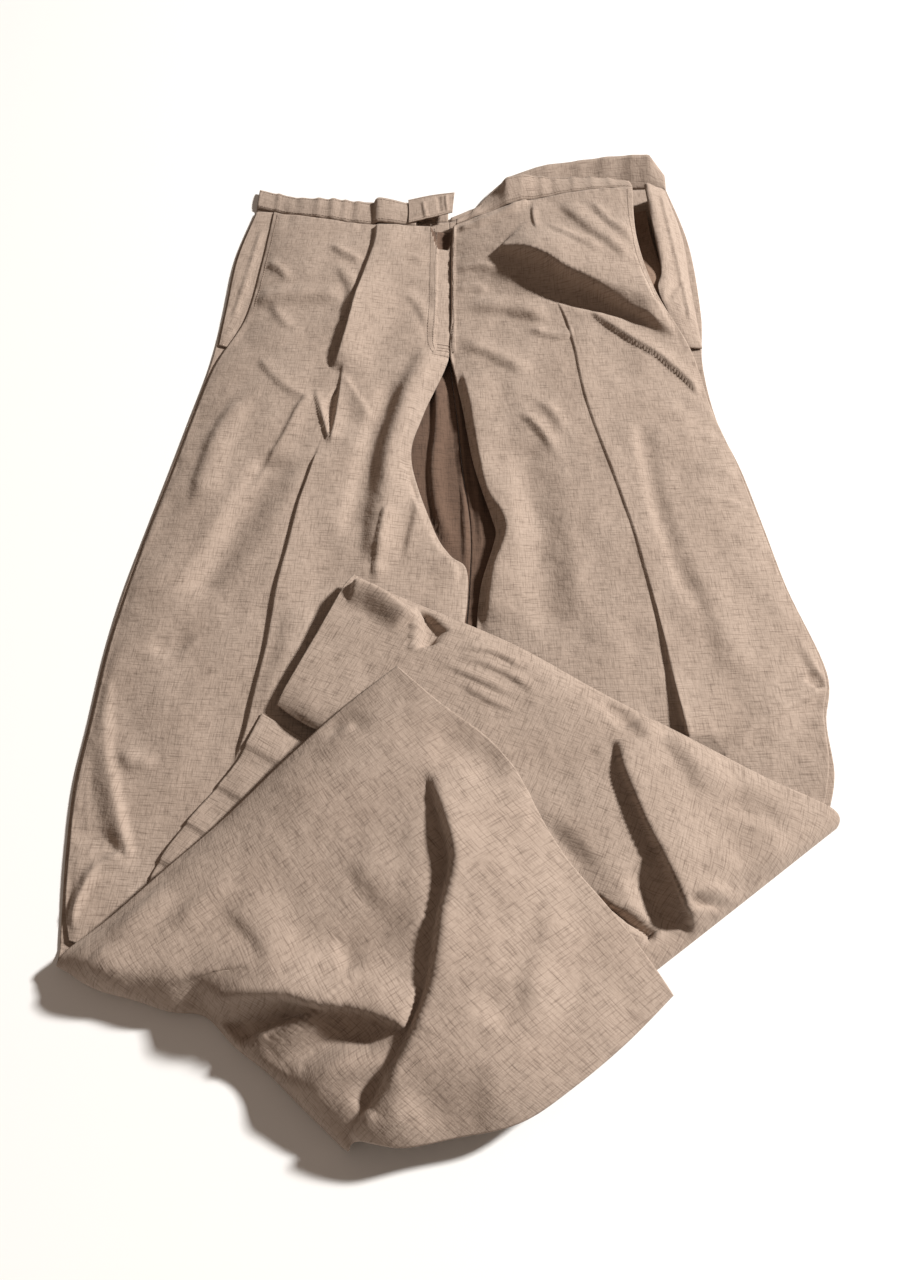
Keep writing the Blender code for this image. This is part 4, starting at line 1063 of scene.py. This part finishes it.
def onPanel(grid, pixels):            # a line through pixels of the photograph, laid on a panel
    places = onGrid(grid, [(*p, 0) for p in pixels], 0.0)
    line = curveThrough([(*p[:2], 0) for p in places], stitching["step"])
    flat, heights = grid[..., :2].reshape(-1, 2), grid[..., 2].ravel()
    for point in line:
        point[2] = heights[np.argmin((flat[:, 0] - point[0]) ** 2 + (flat[:, 1] - point[1]) ** 2)]
    return line


topRow, pocketEnd = stitching["topRow"], rowOf(frontRight, stitching["pocketSection"])
rightLines = [insetLine(frontRightGrid, topRow, pocketEnd, stitching["pocketInset"], "left")]
rightLines += [onPanel(frontRightGrid, pixels) for pixels in stitching["fly"]]
sew("stitchesFrontRight", rightLines, stitching["lift"])
leftEnd, flyEnd = pocketEnd + stitching["rowsPastPocket"], rowOf(frontLeft, stitching["flySection"])
leftLines = [insetLine(frontLeftGrid, topRow, leftEnd, stitching["pocketInset"], "right"),
             insetLine(frontLeftGrid, stitching["flyRow"], flyEnd, stitching["flyInset"], "left")]
sew("stitchesFrontLeft", leftLines, stitching["lift"])
sew("stitchesHemRight", [hemStitchRows[0]], stitching["hemLift"])
sew("stitchesHemLeft", [hemStitchRows[1]], stitching["hemLift"])
bandLines = [grid[row] for grid in bandGrids[:2] for row in stitching["bandRows"]]
bandLines += [tabGrid[:, column] for column in stitching["tabColumns"]]
sew("stitchesBands", bandLines, stitching["lift"])
tackLines = [onPanel(frontRightGrid, tack) for tack in stitching["tacks"]]
sew("bartacks", tackLines, stitching["tackLift"], stitching["tackPitch"])

# Floor, light and camera
studio = {
    "floor": {"colour": (0.9, 0.9, 0.895), "roughness": 0.9, "halfSide": 6},
    "key": {"power": 690.0, "size": 0.6, "place": (4.65, 1.68, 3.66), "colour": (1, 0.985, 0.96)},
    "fill": {"power": 1.2, "size": 1.6, "place": (-0.6, -0.9, 1.6), "colour": (1, 0.88, 0.78)},
    "world": {"strength": 0.185, "colour": (1, 0.78, 0.63)},
    "sensor": 36.0,
}
print("stage: studio")
bm = bmesh.new()
bmesh.ops.create_grid(bm, x_segments=1, y_segments=1, size=studio["floor"]["halfSide"])
floorMesh = bpy.data.meshes.new("floor")
bm.to_mesh(floorMesh)
bm.free()
floor = bpy.data.objects.new("floor", floorMesh)
bpy.context.scene.collection.objects.link(floor)
floorPaint = bpy.data.materials.new("pale floor")
floorPaint.use_nodes = True
floorShader = floorPaint.node_tree.nodes["Principled BSDF"]
floorShader.inputs["Base Color"].default_value = (*studio["floor"]["colour"], 1)
floorShader.inputs["Roughness"].default_value = studio["floor"]["roughness"]
floorMesh.materials.append(floorPaint)

for name in ("key", "fill"):
    lamp = studio[name]
    light = bpy.data.lights.new(name, 'AREA')
    light.energy, light.size, light.color = lamp["power"], lamp["size"], lamp["colour"]
    holder = bpy.data.objects.new(name, light)
    holder.location = lamp["place"]
    holder.rotation_euler = (-Vector(lamp["place"])).to_track_quat('-Z', 'Y').to_euler()
    bpy.context.scene.collection.objects.link(holder)

world = bpy.data.worlds.new("studio")
world.use_nodes = True
background = world.node_tree.nodes["Background"]
background.inputs["Color"].default_value = (*studio["world"]["colour"], 1)
background.inputs["Strength"].default_value = studio["world"]["strength"]
bpy.context.scene.world = world

bpy.context.scene.view_settings.view_transform = 'Standard'
lens = bpy.data.cameras.new("camera")
lens.sensor_width = studio["sensor"]
lens.lens = photo["focal"] / photo["tall"] * lens.sensor_width
camera = bpy.data.objects.new("camera", lens)
camera.location = placed(photo["place"])
camera.rotation_euler = (math.radians(90 - photo["pitch"]), 0, 0)
bpy.context.scene.collection.objects.link(camera)
bpy.context.scene.camera = camera
